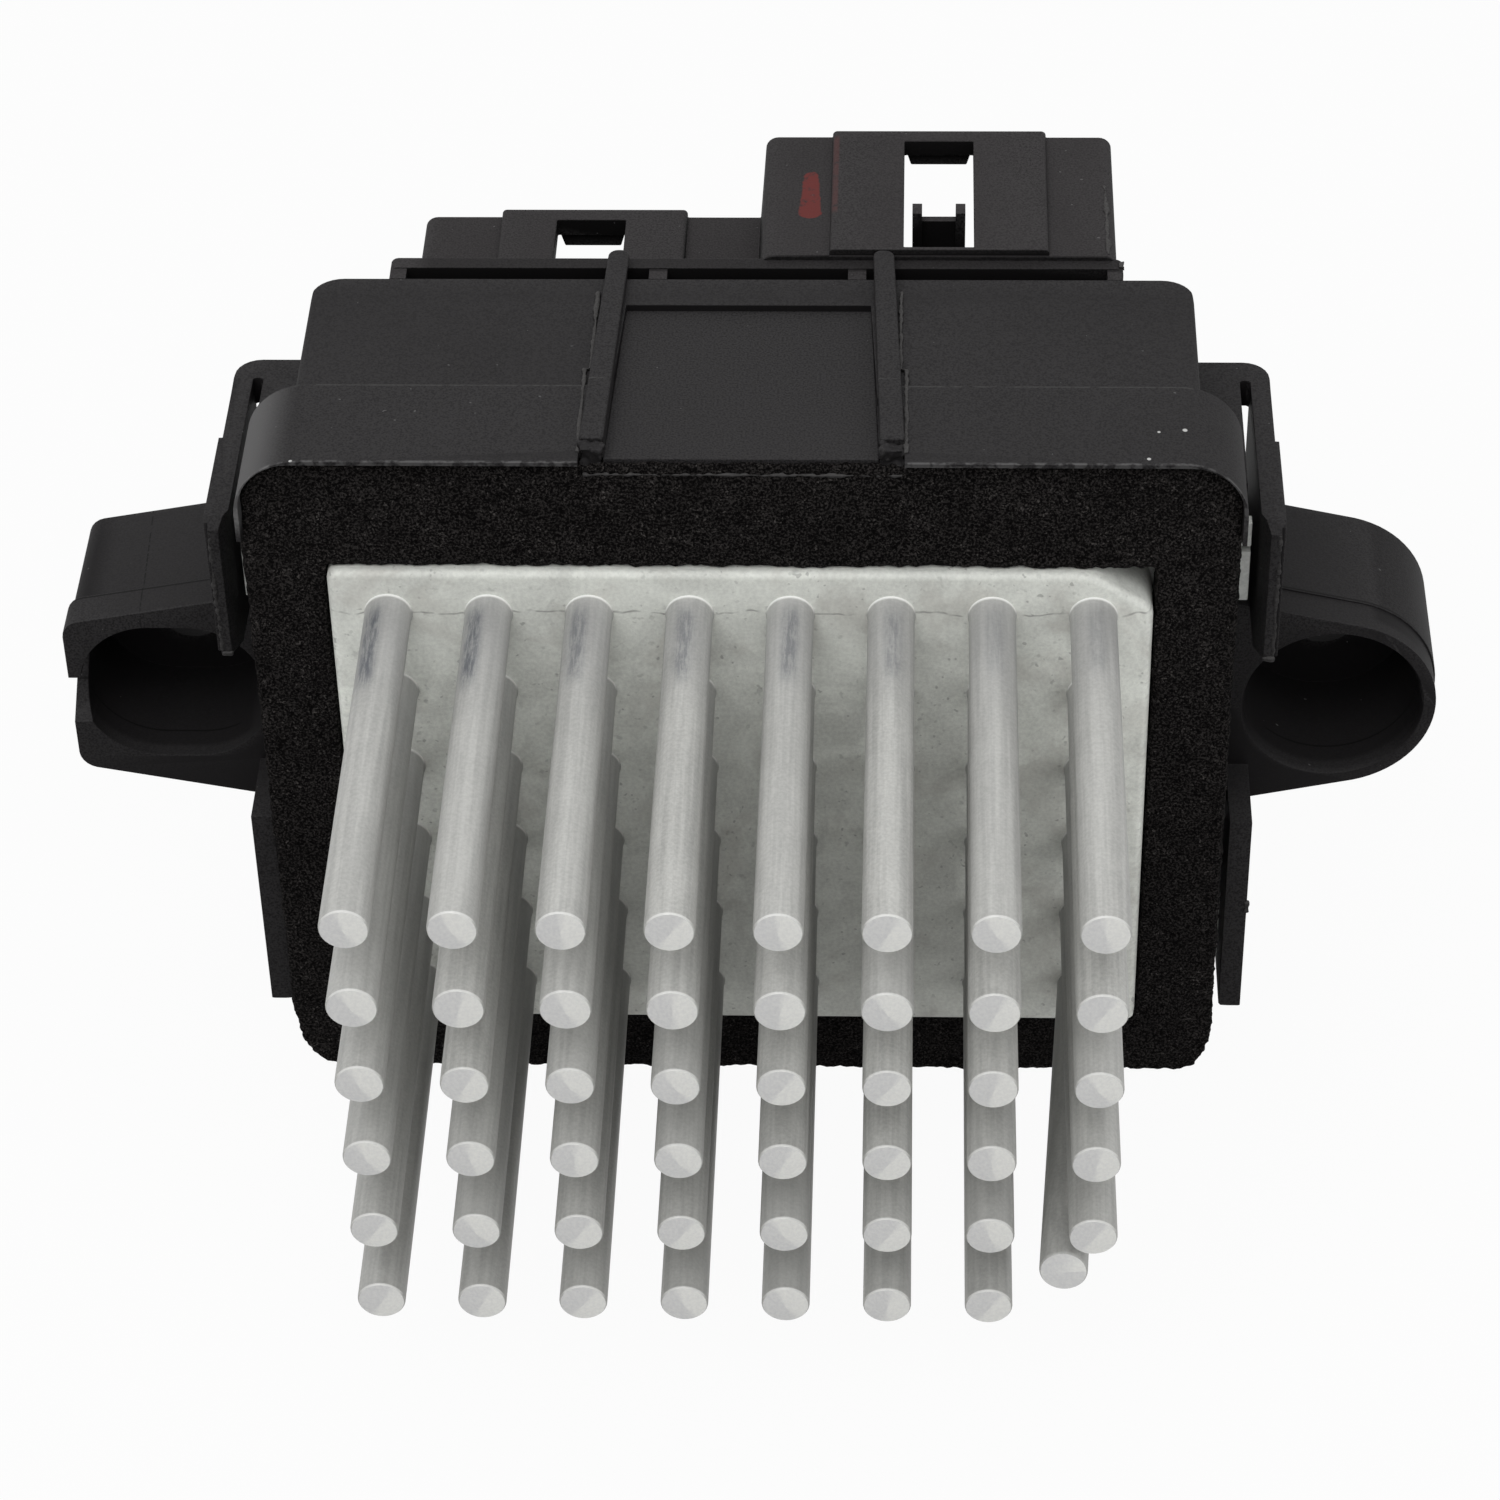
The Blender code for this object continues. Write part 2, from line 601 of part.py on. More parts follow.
def heat_sink():
    """One aluminium casting: flange with side lugs, raised pad, pins and screw bosses."""
    flange = extruded("heat_sink", [seal_outline(FLANGE_HALF, FOAM_TOP_Z, FLANGE_BOTTOM_Z,
                                                 FOAM_SHOULDER_Z, FLANGE_INSET)],
                      "Y", FLANGE_FRONT_Y, FLANGE_BACK_Y)
    front = FLANGE_FRONT_Y + LUG_SETBACK
    back = FLANGE_BACK_Y - LUG_SETBACK
    upper_lug = FOAM_SHOULDER_Z - LUG_DROP - LUG_HEIGHT
    lower_lug = HOUSING_BOTTOM_Z + LOWER_LUG_RISE
    for low, half in ((upper_lug, FLANGE_HALF + LUG_REACH), (lower_lug, LOWER_ARM_X - GAP)):
        add(flange, block("lug", (BODY_X - half, front, low), (BODY_X + half, back, low + LUG_HEIGHT)))
    levels = [(depth, pad_outline(amount)) for depth, amount in edge_rounding(PAD_EDGE_RADIUS)]
    levels.append((FLANGE_FRONT_Y + SINK_IN, pad_outline(0.0)))
    add(flange, loft("pad", levels, "Y"))
    for x, z in board_screw_places():
        add(flange, rod("boss", x, z, BOSS_RADIUS, FLANGE_BACK_Y - SINK_IN, BOARD_FRONT_Y - GAP))
        cut(flange, rod("boss_hole", x, z, SCREW_RADIUS + GAP,
                        BOARD_FRONT_Y - BOARD_SCREW_LENGTH, BOARD_FRONT_Y, sides=12))
    add(flange, rod("clamp_boss", BOX_X, TRANSISTOR_Z, BOSS_RADIUS,
                    FLANGE_BACK_Y - SINK_IN, CLAMP_FRONT_Y - GAP))
    cut(flange, rod("clamp_boss_hole", BOX_X, TRANSISTOR_Z, SCREW_RADIUS + GAP,
                    CLAMP_BACK_Y - CLAMP_SCREW_LENGTH - HOLE_BELOW_SCREW, CLAMP_BACK_Y, sides=12))
    for x, z in housing_screw_places():
        cut(flange, rod("flange_hole", x, z, SCREW_RADIUS + GAP,
                        FLANGE_FRONT_Y - PAST, FLANGE_BACK_Y + PAST, sides=12))
    union = flange.modifiers.new("union_pins", "BOOLEAN")
    union.operation = "UNION"
    union.solver = "EXACT"
    union.operand_type = "COLLECTION"
    union.collection = pins()
    flange.data.materials.append(material("cast_aluminium", (0.56, 0.56, 0.54), 0.42, 0.85))
    return flange


def foam_gasket():
    window = frame_outline(-PAD_X - WINDOW_GAP, PAD_X + WINDOW_GAP,
                           PAD_BOTTOM - WINDOW_GAP, PAD_TOP + WINDOW_GAP, 0)
    rim = seal_outline(FOAM_HALF, FOAM_TOP_Z, FOAM_BOTTOM_Z, FOAM_SHOULDER_Z, 0.0)
    foam = extruded("foam_gasket", [rim, window], "Y", FOAM_FRONT_Y, FOAM_FRONT_Y + FOAM_THICKNESS)
    foam.data.materials.append(material("foam", (0.020, 0.018, 0.017), 0.95))
    return foam


def hood():
    """Band over the seal's upper edge and corners, open below."""
    left = BODY_X - HOOD_HALF
    right = BODY_X + HOOD_HALF
    skirt = FOAM_SHOULDER_Z + GAP
    outer = FOAM_TOP_RADIUS + HOOD_TOP_WALL
    return extruded("front_housing", [rounded([
        (left, skirt, 0),
        (left + HOOD_SIDE_WALL, skirt, 0),
        (left + HOOD_SIDE_WALL, HOOD_TOP_Z - HOOD_TOP_WALL, FOAM_TOP_RADIUS),
        (right - HOOD_SIDE_WALL, HOOD_TOP_Z - HOOD_TOP_WALL, FOAM_TOP_RADIUS),
        (right - HOOD_SIDE_WALL, skirt, 0),
        (right, skirt, 0),
        (right, HOOD_TOP_Z, outer),
        (left, HOOD_TOP_Z, outer),
    ], steps=6)], "Y", HOOD_FRONT_Y, SEAT_BACK_Y)


def seat():
    """Ring behind the flange, with webs across its corners for the housing screws."""
    left = BODY_X - HOOD_HALF + APART
    right = BODY_X + HOOD_HALF - APART
    top = HOOD_TOP_Z - 2 * APART
    web = SEAT_CORNER_WEB
    room_left = BOX_X - ROOM_HALF
    room_right = BOX_X + ROOM_HALF
    upper = FOAM_TOP_RADIUS + HOOD_TOP_WALL
    rim = rounded([(left, HOUSING_BOTTOM_Z, SEAT_CORNER_RADIUS),
                   (right, HOUSING_BOTTOM_Z, SEAT_CORNER_RADIUS),
                   (right, top, upper), (left, top, upper)], steps=6)
    hole = [(room_left + web, ROOM_BOTTOM_Z), (room_right - web, ROOM_BOTTOM_Z),
            (room_right, ROOM_BOTTOM_Z + web), (room_right, ROOM_TOP_Z - web),
            (room_right - web, ROOM_TOP_Z), (room_left + web, ROOM_TOP_Z),
            (room_left, ROOM_TOP_Z - web), (room_left, ROOM_BOTTOM_Z + web)]
    return extruded("seat", [rim, hole], "Y", SEAT_FRONT_Y, SEAT_BACK_Y - APART)


def box_shell():
    """Box behind the seat with its room and the rear opening that the cover closes."""
    left = BOX_X - BOX_HALF
    right = BOX_X + BOX_HALF
    front = SEAT_FRONT_Y + APART
    corners = [(left, front, 0), (right, front, 0),
               (right, BOX_BACK_Y, BOX_REAR_RADIUS), (left, BOX_BACK_Y, BOX_REAR_RADIUS)]
    edge = [(depth, rounded(inset(corners, amount))) for depth, amount in edge_rounding(BOX_EDGE)]
    levels = [(HOUSING_BOTTOM_Z + APART + depth, plan) for depth, plan in edge]
    levels += [(BOX_TOP_Z - depth, plan) for depth, plan in reversed(edge)]
    shell = loft("box", levels, "Z")
    cut(shell, block("room", (BOX_X - ROOM_HALF, front - PAST, ROOM_BOTTOM_Z),
                     (BOX_X + ROOM_HALF, BOX_BACK_Y - BOX_WALL, ROOM_TOP_Z)))
    opening = SPIGOT_HALF + GAP
    cut(shell, block("rear_opening", (COVER_X - opening, BOX_BACK_Y - 2 * BOX_WALL, SPIGOT_BOTTOM_Z - GAP),
                     (COVER_X + opening, BOX_BACK_Y + PAST, SPIGOT_TOP_Z + GAP)))
    return shell


def rib(side):
    """Raised rib along the box's top that reaches back over the cover's rail."""
    front, back = HOOD_FRONT_Y + RIB_FRONT_SETBACK, BOX_BACK_Y + RIB_OVERHANG
    corners = [(RIB_SPREAD_FRONT - RIB_WIDTH_FRONT / 2, front, 0),
               (RIB_SPREAD_FRONT + RIB_WIDTH_FRONT / 2, front, 0),
               (RIB_SPREAD_BACK + RIB_WIDTH_BACK / 2, back, RIB_END_RADIUS),
               (RIB_SPREAD_BACK - RIB_WIDTH_BACK / 2, back, RIB_END_RADIUS)]
    plan = rounded([(RIB_X + side * x, y, radius) for x, y, radius in corners], steps=3)
    root = BOX_TOP_Z - HOOD_TOP_WALL / 2
    bar = extruded("rib", [plan], "Z", root, BOX_TOP_Z + RIB_HEIGHT)
    middle = RIB_X + side * RIB_SPREAD_BACK
    return cut(bar, block("rib_undercut", (middle - RIB_WIDTH_FRONT, BOX_BACK_Y, root - PAST),
                          (middle + RIB_WIDTH_FRONT, back + PAST, BOX_TOP_Z + GAP)))


def panel():
    """Sunk panel between the ribs, open at the hood's front edge."""
    back = BOX_BACK_Y - PANEL_REAR_STRIP
    front = HOOD_FRONT_Y - PAST
    middle = RIB_SPREAD_FRONT - RIB_WIDTH_FRONT / 2
    rear = RIB_SPREAD_BACK - RIB_WIDTH_BACK / 2
    plan = [(RIB_X - middle, front), (RIB_X + middle, front), (RIB_X + rear, back), (RIB_X - rear, back)]
    return extruded("panel", [plan], "Z", BOX_TOP_Z - PANEL_SINK, BOX_TOP_Z + PAST)


def web(side, arm_x, thickness, low, high):
    """Flat web from the box to an arm, with the slot that leaves the arm free in front of it."""
    root = BOX_X + side * (BOX_HALF - SINK_IN)
    edge = BODY_X + side * (arm_x - WEB_SLOT)
    tip = BODY_X + side * (arm_x + thickness + APART)
    front = SEAT_BACK_Y - SINK_IN
    slot_end = ARM_BACK_Y - WEB_DEPTH
    plan = rounded([(root, front, 0), (edge, front, 0), (edge, slot_end, 0), (tip, slot_end, 0),
                    (tip, ARM_BACK_Y, WEB_RADIUS), (root, ARM_BACK_Y, 0)])
    return extruded("web", [plan], "Z", low, high)


def upper_arm(side):
    """Plate beside the box's upper half and behind the ear, with its stiffening pad."""
    front = ARM_FRONT_Y
    back = ARM_BACK_Y - WEB_DEPTH + APART
    behind_ear = EAR_FRONT_Y + SINK_IN
    recess = EAR_Z + EAR_ROOT_HALF
    foot = EAR_Z - EAR_ROOT_BELOW - SINK_IN
    profile = rounded([
        (behind_ear, foot, 0), (back, foot, 0), (back, ARM_TOP_Z, 0),
        (front + ARM_CORNER_CUT, ARM_TOP_Z, 0), (front, ARM_TOP_Z - ARM_CORNER_CUT, 0),
        (front, recess, ARM_NOTCH_RADIUS), (behind_ear, recess, 0)])
    inner, outer = sorted((BODY_X + side * ARM_X, BODY_X + side * (ARM_X + ARM_THICKNESS)))
    plate = extruded("upper_arm", [profile], "X", inner, outer)
    face = BODY_X + side * (ARM_X + ARM_THICKNESS / 2)
    edge = BODY_X + side * (ARM_X + ARM_THICKNESS + ARM_PAD_THICKNESS)
    inside, outside = sorted((face, edge))
    add(plate, block("arm_pad", (inside, front + ARM_NOTCH_RADIUS, recess + APART),
                     (outside, front + ARM_PAD_LENGTH, ARM_TOP_Z - APART)))
    return add(plate, web(side, ARM_X, ARM_THICKNESS, ARM_TOP_Z - WEB_HEIGHT, ARM_TOP_Z + APART))


def lower_arm(side):
    """Plate below the ear, set further in, with a tapered tip."""
    back = ARM_BACK_Y - WEB_DEPTH + 2 * APART

    def outline(inner_cut, outer_cut, front_cut):
        inner = BODY_X + side * (LOWER_ARM_X + inner_cut)
        outer = BODY_X + side * (LOWER_ARM_X + LOWER_ARM_THICKNESS - outer_cut)
        low, high = sorted((inner, outer))
        front = ARM_FRONT_Y + front_cut
        return [(low, front), (high, front), (high, back), (low, back)]

    plain = outline(0.0, 0.0, 0.0)
    plate = loft("lower_arm", [
        (ARM_BOTTOM_Z, outline(ARM_TIP_INNER_CUT, ARM_TIP_OUTER_CUT, ARM_CORNER_CUT)),
        (ARM_BOTTOM_Z + ARM_TIP_HEIGHT, plain),
        (EAR_Z - EAR_ROOT_BELOW, plain),
    ], "Z")
    low = ARM_BOTTOM_Z + ARM_TIP_HEIGHT + APART
    return add(plate, web(side, LOWER_ARM_X, LOWER_ARM_THICKNESS, low, low + WEB_HEIGHT))


def right_ear():
    """Round-ended screw ear with a cup that opens to the front and a screw hole in its floor."""
    root = BOX_X + BOX_HALF - SINK_IN
    centre = Vector((BODY_X + EAR_X, EAR_Z))

    def ear_outline(radius):
        far = centre.x - root
        spread = atan2(EAR_ROOT_HALF - radius, far)
        steps = 14
        first = pi / 2 - spread
        arc = [centre + Vector((cos(angle), sin(angle))) * radius
               for angle in (first - 2 * first * step / steps for step in range(steps + 1))]
        ends = [Vector((root, centre.y + side * EAR_ROOT_HALF)) for side in (1, -1)]
        return [ends[0], *arc, ends[1]]

    ear = extruded("right_ear", [ear_outline(EAR_RADIUS)], "Y", EAR_FRONT_Y + EAR_COLLAR, ARM_BACK_Y)
    add(ear, extruded("right_collar", [ear_outline(EAR_RADIUS - EAR_COLLAR_STEP)], "Y",
                      EAR_FRONT_Y, EAR_FRONT_Y + EAR_COLLAR + SINK_IN))
    return ear


def left_ear():
    """Squarer ear whose cup is open through a notch low in its outer wall."""
    root = BOX_X - BOX_HALF + SINK_IN
    tip = BODY_X - EAR_X - EAR_RADIUS

    def ear_outline(step):
        return rounded([(root, EAR_Z + EAR_ROOT_HALF - step, 0),
                        (tip + step, EAR_Z + LEFT_EAR_HALF - step, LEFT_EAR_CORNER),
                        (tip + step, EAR_Z - LEFT_EAR_HALF + step, LEFT_EAR_CORNER),
                        (root, EAR_Z - EAR_ROOT_HALF + step, 0)], steps=4)

    ear = extruded("left_ear", [ear_outline(EAR_COLLAR_STEP * 2)], "Y",
                   EAR_FRONT_Y + EAR_COLLAR, ARM_BACK_Y)
    add(ear, extruded("left_collar", [ear_outline(0.0)], "Y",
                      EAR_FRONT_Y, EAR_FRONT_Y + EAR_COLLAR + SINK_IN))
    return ear


def ear_cuts(housing):
    """Cups and screw holes of both ears; the right cup has a lead-in bevel."""
    floor = ARM_BACK_Y - EAR_FLOOR
    right = BODY_X + EAR_X
    depth = floor - EAR_FRONT_Y
    through = depth + EAR_FLOOR + PAST
    cup = [(0.0, PAST), (EAR_CUP_MOUTH, PAST), (EAR_CUP_MOUTH, 0.0), (EAR_CUP_RADIUS, -EAR_CUP_BEVEL),
           (EAR_CUP_RADIUS, -depth), (EAR_SCREW_RADIUS, -depth), (EAR_SCREW_RADIUS, -through),
           (0.0, -through)]
    cut(housing, turned("right_cup", cup, 32, (right, EAR_FRONT_Y, EAR_Z), (pi / 2, 0.0, 0.0)))
    left = BODY_X - EAR_X
    low = EAR_Z + LEFT_CUP_RISE - LEFT_CUP_HALF_Z
    high = EAR_Z + LEFT_CUP_RISE + LEFT_CUP_HALF_Z
    cup = frame_outline(left - LEFT_CUP_HALF_X, left + LEFT_CUP_HALF_X, low, high, LEFT_CUP_RADIUS)
    cut(housing, extruded("left_cup", [cup], "Y", EAR_FRONT_Y - PAST, floor))
    outer = left - EAR_RADIUS
    notch = [(EAR_FRONT_Y - PAST, EAR_Z + LEFT_NOTCH_Z),
             (EAR_FRONT_Y + LEFT_NOTCH_DEPTH, EAR_Z + LEFT_NOTCH_Z),
             (EAR_FRONT_Y - PAST, EAR_Z - LEFT_NOTCH_Z)]
    cut(housing, extruded("left_notch", [notch], "X", outer - PAST, left))
    cut(housing, rod("left_screw_hole", left, EAR_Z, EAR_SCREW_RADIUS, floor - PAST, ARM_BACK_Y + PAST))


def front_housing():
    housing = hood()
    add(housing, seat())
    add(housing, box_shell())
    lip = RIB_SPREAD_FRONT + RIB_WIDTH_FRONT / 2 + LIP_BESIDE_RIB
    cut(housing, block("lip_notch", (RIB_X - lip, HOOD_FRONT_Y - PAST, HOOD_TOP_Z - HOOD_TOP_WALL - PAST),
                       (RIB_X + lip, HOOD_FRONT_Y + LIP_SETBACK, HOOD_TOP_Z + PAST)))
    for side in (-1, 1):
        add(housing, rib(side))
    cut(housing, panel())
    for side in (-1, 1):
        add(housing, upper_arm(side))
        add(housing, lower_arm(side))
    add(housing, right_ear())
    add(housing, left_ear())
    ear_cuts(housing)
    for x, z in housing_screw_places():
        cut(housing, rod("web_hole", x, z, SCREW_RADIUS + GAP, SEAT_FRONT_Y - PAST,
                         SEAT_BACK_Y + PAST, sides=12))
    housing.data.materials.append(material("housing_plastic", (0.045, 0.044, 0.045), 0.50))
    return housing


def socket(name, middle, width, top, height, raised_width, window, into_neighbour=0.0):
    """Socket with its room, raised roof section and latch window."""
    low = top - height
    rim = frame_outline(middle - width / 2, middle + width / 2 + into_neighbour, low, top, SOCKET_CORNER)
    body = extruded(name, [rim], "Y", PLATE_BACK_Y - 2 * APART, MOUTH_Y)
    raised = frame_outline(middle - raised_width / 2, middle + raised_width / 2,
                           top - SOCKET_WALL / 2, top + RAISED_STEP, 0)
    add(body, extruded("raised_roof", [raised], "Y", PLATE_BACK_Y + APART, MOUTH_Y - APART))
    room = frame_outline(middle - width / 2 + SOCKET_WALL, middle + width / 2 - SOCKET_WALL,
                         low + SOCKET_WALL, top - SOCKET_WALL + RAISED_STEP / 2, SOCKET_CORNER / 2)
    cut(body, extruded("socket_room", [room], "Y", PLATE_BACK_Y, MOUTH_Y + PAST))
    cut(body, block("latch_window", (middle - window / 2, PLATE_BACK_Y + 3 * APART, top - 2 * SOCKET_WALL),
                    (middle + window / 2, MOUTH_Y - LATCH_BAR, top + RAISED_STEP + PAST)))
    foot = top + RAISED_STEP - LATCH_DEPTH
    half = window / 2
    catch = [(middle - half + LATCH_NARROWING, foot), (middle + half - LATCH_NARROWING, foot),
             (middle + half - APART, foot + LATCH_DEPTH / 2), (middle + half - APART, top),
             (middle - half + APART, top), (middle - half + APART, foot + LATCH_DEPTH / 2)]
    add(body, extruded("latch_catch", [catch], "Y", MOUTH_Y - LATCH_BAR + APART, MOUTH_Y - 2 * APART))
    return body


def keeper():
    """U-shaped latch keeper on a shelf inside the power socket, seen through its window."""
    shelf_z = POWER_TOP_Z - KEEPER_DROP
    left = POWER_X - KEEPER_WIDTH / 2
    right = POWER_X + KEEPER_WIDTH / 2
    end = PLATE_BACK_Y + KEEPER_REACH
    shelf = block("keeper_shelf", (left + APART, PLATE_BACK_Y - SINK_IN, shelf_z - KEEPER_PLATE),
                  (right - APART, end, shelf_z))
    profile = [(left, shelf_z - KEEPER_PLATE / 2), (right, shelf_z - KEEPER_PLATE / 2),
               (right, POWER_TOP_Z), (right - KEEPER_POST, POWER_TOP_Z),
               (right - KEEPER_POST, shelf_z + KEEPER_WEB), (left + KEEPER_POST, shelf_z + KEEPER_WEB),
               (left + KEEPER_POST, POWER_TOP_Z), (left, POWER_TOP_Z)]
    return add(shelf, extruded("keeper", [profile], "Y", end - KEEPER_PLATE, end + APART))


def rear_cover():
    """Closing plate with spacer tabs, a spigot into the box and the two connector sockets."""
    left = COVER_X - COVER_HALF
    right = COVER_X + COVER_HALF
    plate = frame_outline(left, right, COVER_BOTTOM_Z, COVER_TOP_Z, COVER_CORNER)
    cover = extruded("rear_cover", [plate], "Y", PLATE_FRONT_Y, PLATE_BACK_Y)
    spigot_rim = frame_outline(COVER_X - SPIGOT_HALF, COVER_X + SPIGOT_HALF,
                               SPIGOT_BOTTOM_Z, SPIGOT_TOP_Z, 0)
    spigot_hole = frame_outline(COVER_X - SPIGOT_HALF + SPIGOT_WALL, COVER_X + SPIGOT_HALF - SPIGOT_WALL,
                                SPIGOT_BOTTOM_Z + SPIGOT_WALL, SPIGOT_TOP_Z - SPIGOT_WALL, 0)
    add(cover, extruded("spigot", [spigot_rim, spigot_hole], "Y", BOX_BACK_Y - SPIGOT_LENGTH,
                        PLATE_FRONT_Y + SINK_IN))
    tab_front = BOX_BACK_Y + GAP
    for side in (-1, 1):
        middle = COVER_X + side * (SPIGOT_HALF + COVER_END_TAB / 2)
        add(cover, block("end_tab", (middle - COVER_END_TAB / 2 + APART, tab_front, COVER_BOTTOM_Z + APART),
                         (middle + COVER_END_TAB / 2 - APART, PLATE_FRONT_Y + SINK_IN, COVER_TOP_Z - APART)))
        tab = COVER_X + side * COVER_TAB_SPREAD
        for low, high in ((SPIGOT_TOP_Z - SINK_IN, COVER_TOP_Z - APART),
                          (COVER_BOTTOM_Z + APART, SPIGOT_BOTTOM_Z + SINK_IN)):
            add(cover, block("spacer_tab", (tab - COVER_TAB_WIDTH / 2, tab_front, low),
                             (tab + COVER_TAB_WIDTH / 2, PLATE_FRONT_Y + SINK_IN, high)))
    add(cover, socket("power_socket", POWER_X, POWER_WIDTH, POWER_TOP_Z, POWER_HEIGHT,
                      POWER_RAISED_WIDTH, POWER_WINDOW))
    add(cover, socket("signal_socket", SIGNAL_X, SIGNAL_WIDTH, SIGNAL_TOP_Z, SIGNAL_HEIGHT,
                      SIGNAL_RAISED_WIDTH, SIGNAL_WINDOW, SOCKET_CORNER))
    add(cover, keeper())
    for x in power_places():
        cut(cover, blade_slot(x, POWER_Z, POWER_BLADE_WIDTH, POWER_BLADE_THICKNESS,
                              PLATE_FRONT_Y - PAST, PLATE_BACK_Y + PAST))
    for x in signal_places():
        cut(cover, blade_slot(x, SIGNAL_Z, SIGNAL_BLADE_WIDTH, SIGNAL_BLADE_THICKNESS,
                              PLATE_FRONT_Y - PAST, PLATE_BACK_Y + PAST))
    cover.data.materials.append(material("cover_plastic", (0.050, 0.048, 0.049), 0.50))
    return cover


def blade(name, x, z, width, thickness, metal):
    """Flat terminal that runs from the board through the cover into its socket, with a tapered tip."""
    front = BOARD_FRONT_Y - BLADE_PAST_BOARD
    back = PLATE_BACK_Y + BLADE_IN_SOCKET
    half = width / 2
    plan = [(x - half, front), (x + half, front), (x + half, back - BLADE_TIP),
            (x + half - BLADE_TIP, back), (x - half + BLADE_TIP, back), (x - half, back - BLADE_TIP)]
    terminal = extruded(name, [plan], "Z", z - thickness / 2, z + thickness / 2)
    terminal.data.materials.append(metal)
    return terminal


def terminals():
    metal = material("tinned_brass", (0.72, 0.68, 0.58), 0.30, 1.0)
    for index, x in enumerate(power_places(), 1):
        blade("power_terminal_%d" % index, x, POWER_Z, POWER_BLADE_WIDTH, POWER_BLADE_THICKNESS, metal)
    for index, x in enumerate(signal_places(), 1):
        blade("signal_terminal_%d" % index, x, SIGNAL_Z, SIGNAL_BLADE_WIDTH, SIGNAL_BLADE_THICKNESS, metal)


def circuit_board():
    left = BOX_X - ROOM_HALF + BOARD_EDGE_GAP
    right = BOX_X + ROOM_HALF - BOARD_EDGE_GAP
    low = ROOM_BOTTOM_Z + BOARD_EDGE_GAP
    high = ROOM_TOP_Z - BOARD_EDGE_GAP
    board = extruded("circuit_board", [frame_outline(left, right, low, high, BOARD_CORNER)],
                     "Y", BOARD_FRONT_Y, BOARD_BACK_Y)
    front, back = BOARD_FRONT_Y - PAST, BOARD_BACK_Y + PAST
    for x, z in board_screw_places():
        cut(board, rod("board_hole", x, z, SCREW_RADIUS + GAP, front, back, sides=12))
    cut(board, rod("clamp_screw_access", BOX_X, TRANSISTOR_Z, CLAMP_SCREW_RELIEF, front, back, sides=20))
    for x in power_places():
        cut(board, blade_slot(x, POWER_Z, POWER_BLADE_WIDTH, POWER_BLADE_THICKNESS, front, back))
    for x in signal_places():
        cut(board, blade_slot(x, SIGNAL_Z, SIGNAL_BLADE_WIDTH, SIGNAL_BLADE_THICKNESS, front, back))
    for side in (-1, 1):
        for x, z in lead_places(side):
            cut(board, block("lead_hole", (x - LEAD_WIDTH / 2 - GAP, front, z - LEAD_WIDTH / 2 - GAP),
                             (x + LEAD_WIDTH / 2 + GAP, back, z + LEAD_WIDTH / 2 + GAP)))
    board.data.materials.append(material("board", (0.02, 0.10, 0.05), 0.45))
    return board


def screw(name, x, z, seat_y, length, metal):
    """Slotted pan-head screw whose head sits on seat_y and whose shank points along -Y."""
    profile = [(0.0, SCREW_HEAD_HEIGHT),
               (SCREW_HEAD_RADIUS - SCREW_HEAD_BEVEL, SCREW_HEAD_HEIGHT),
               (SCREW_HEAD_RADIUS, SCREW_HEAD_HEIGHT - SCREW_HEAD_BEVEL),
               (SCREW_HEAD_RADIUS, 0.0),
               (SCREW_RADIUS, 0.0),
               (SCREW_RADIUS, -length + SCREW_POINT),
               (SCREW_RADIUS - SCREW_POINT, -length),
               (0.0, -length)]
    made = turned(name, profile, 12, (x, seat_y + GAP, z), (-pi / 2, 0.0, 0.0))
    reach = SCREW_HEAD_RADIUS + PAST
    top = seat_y + GAP + SCREW_HEAD_HEIGHT
    cut(made, block("screw_slot", (x - reach, top - SCREW_SLOT_DEPTH, z - SCREW_SLOT_WIDTH / 2),
                    (x + reach, top + PAST, z + SCREW_SLOT_WIDTH / 2)))
    made.data.materials.append(metal)
    return made


def screws():
    metal = material("zinc_plated_steel", (0.62, 0.63, 0.64), 0.35, 1.0)
    for index, (x, z) in enumerate(board_screw_places(), 1):
        screw("board_screw_%d" % index, x, z, BOARD_BACK_Y, BOARD_SCREW_LENGTH, metal)
    for index, (x, z) in enumerate(housing_screw_places(), 1):
        screw("housing_screw_%d" % index, x, z, SEAT_BACK_Y, SEAT_BACK_Y - FLANGE_FRONT_Y, metal)
    screw("clamp_screw", BOX_X, TRANSISTOR_Z, CLAMP_BACK_Y, CLAMP_SCREW_LENGTH, metal)


def lead_places(side):
    """Where a transistor's three leads go through the board, as (x, z)."""
    middle = BOX_X + side * TRANSISTOR_SPREAD
    z = TRANSISTOR_Z - TRANSISTOR_BODY / 2 - LEAD_REACH
    return [(middle + step * LEAD_PITCH, z) for step in (-1, 0, 1)]


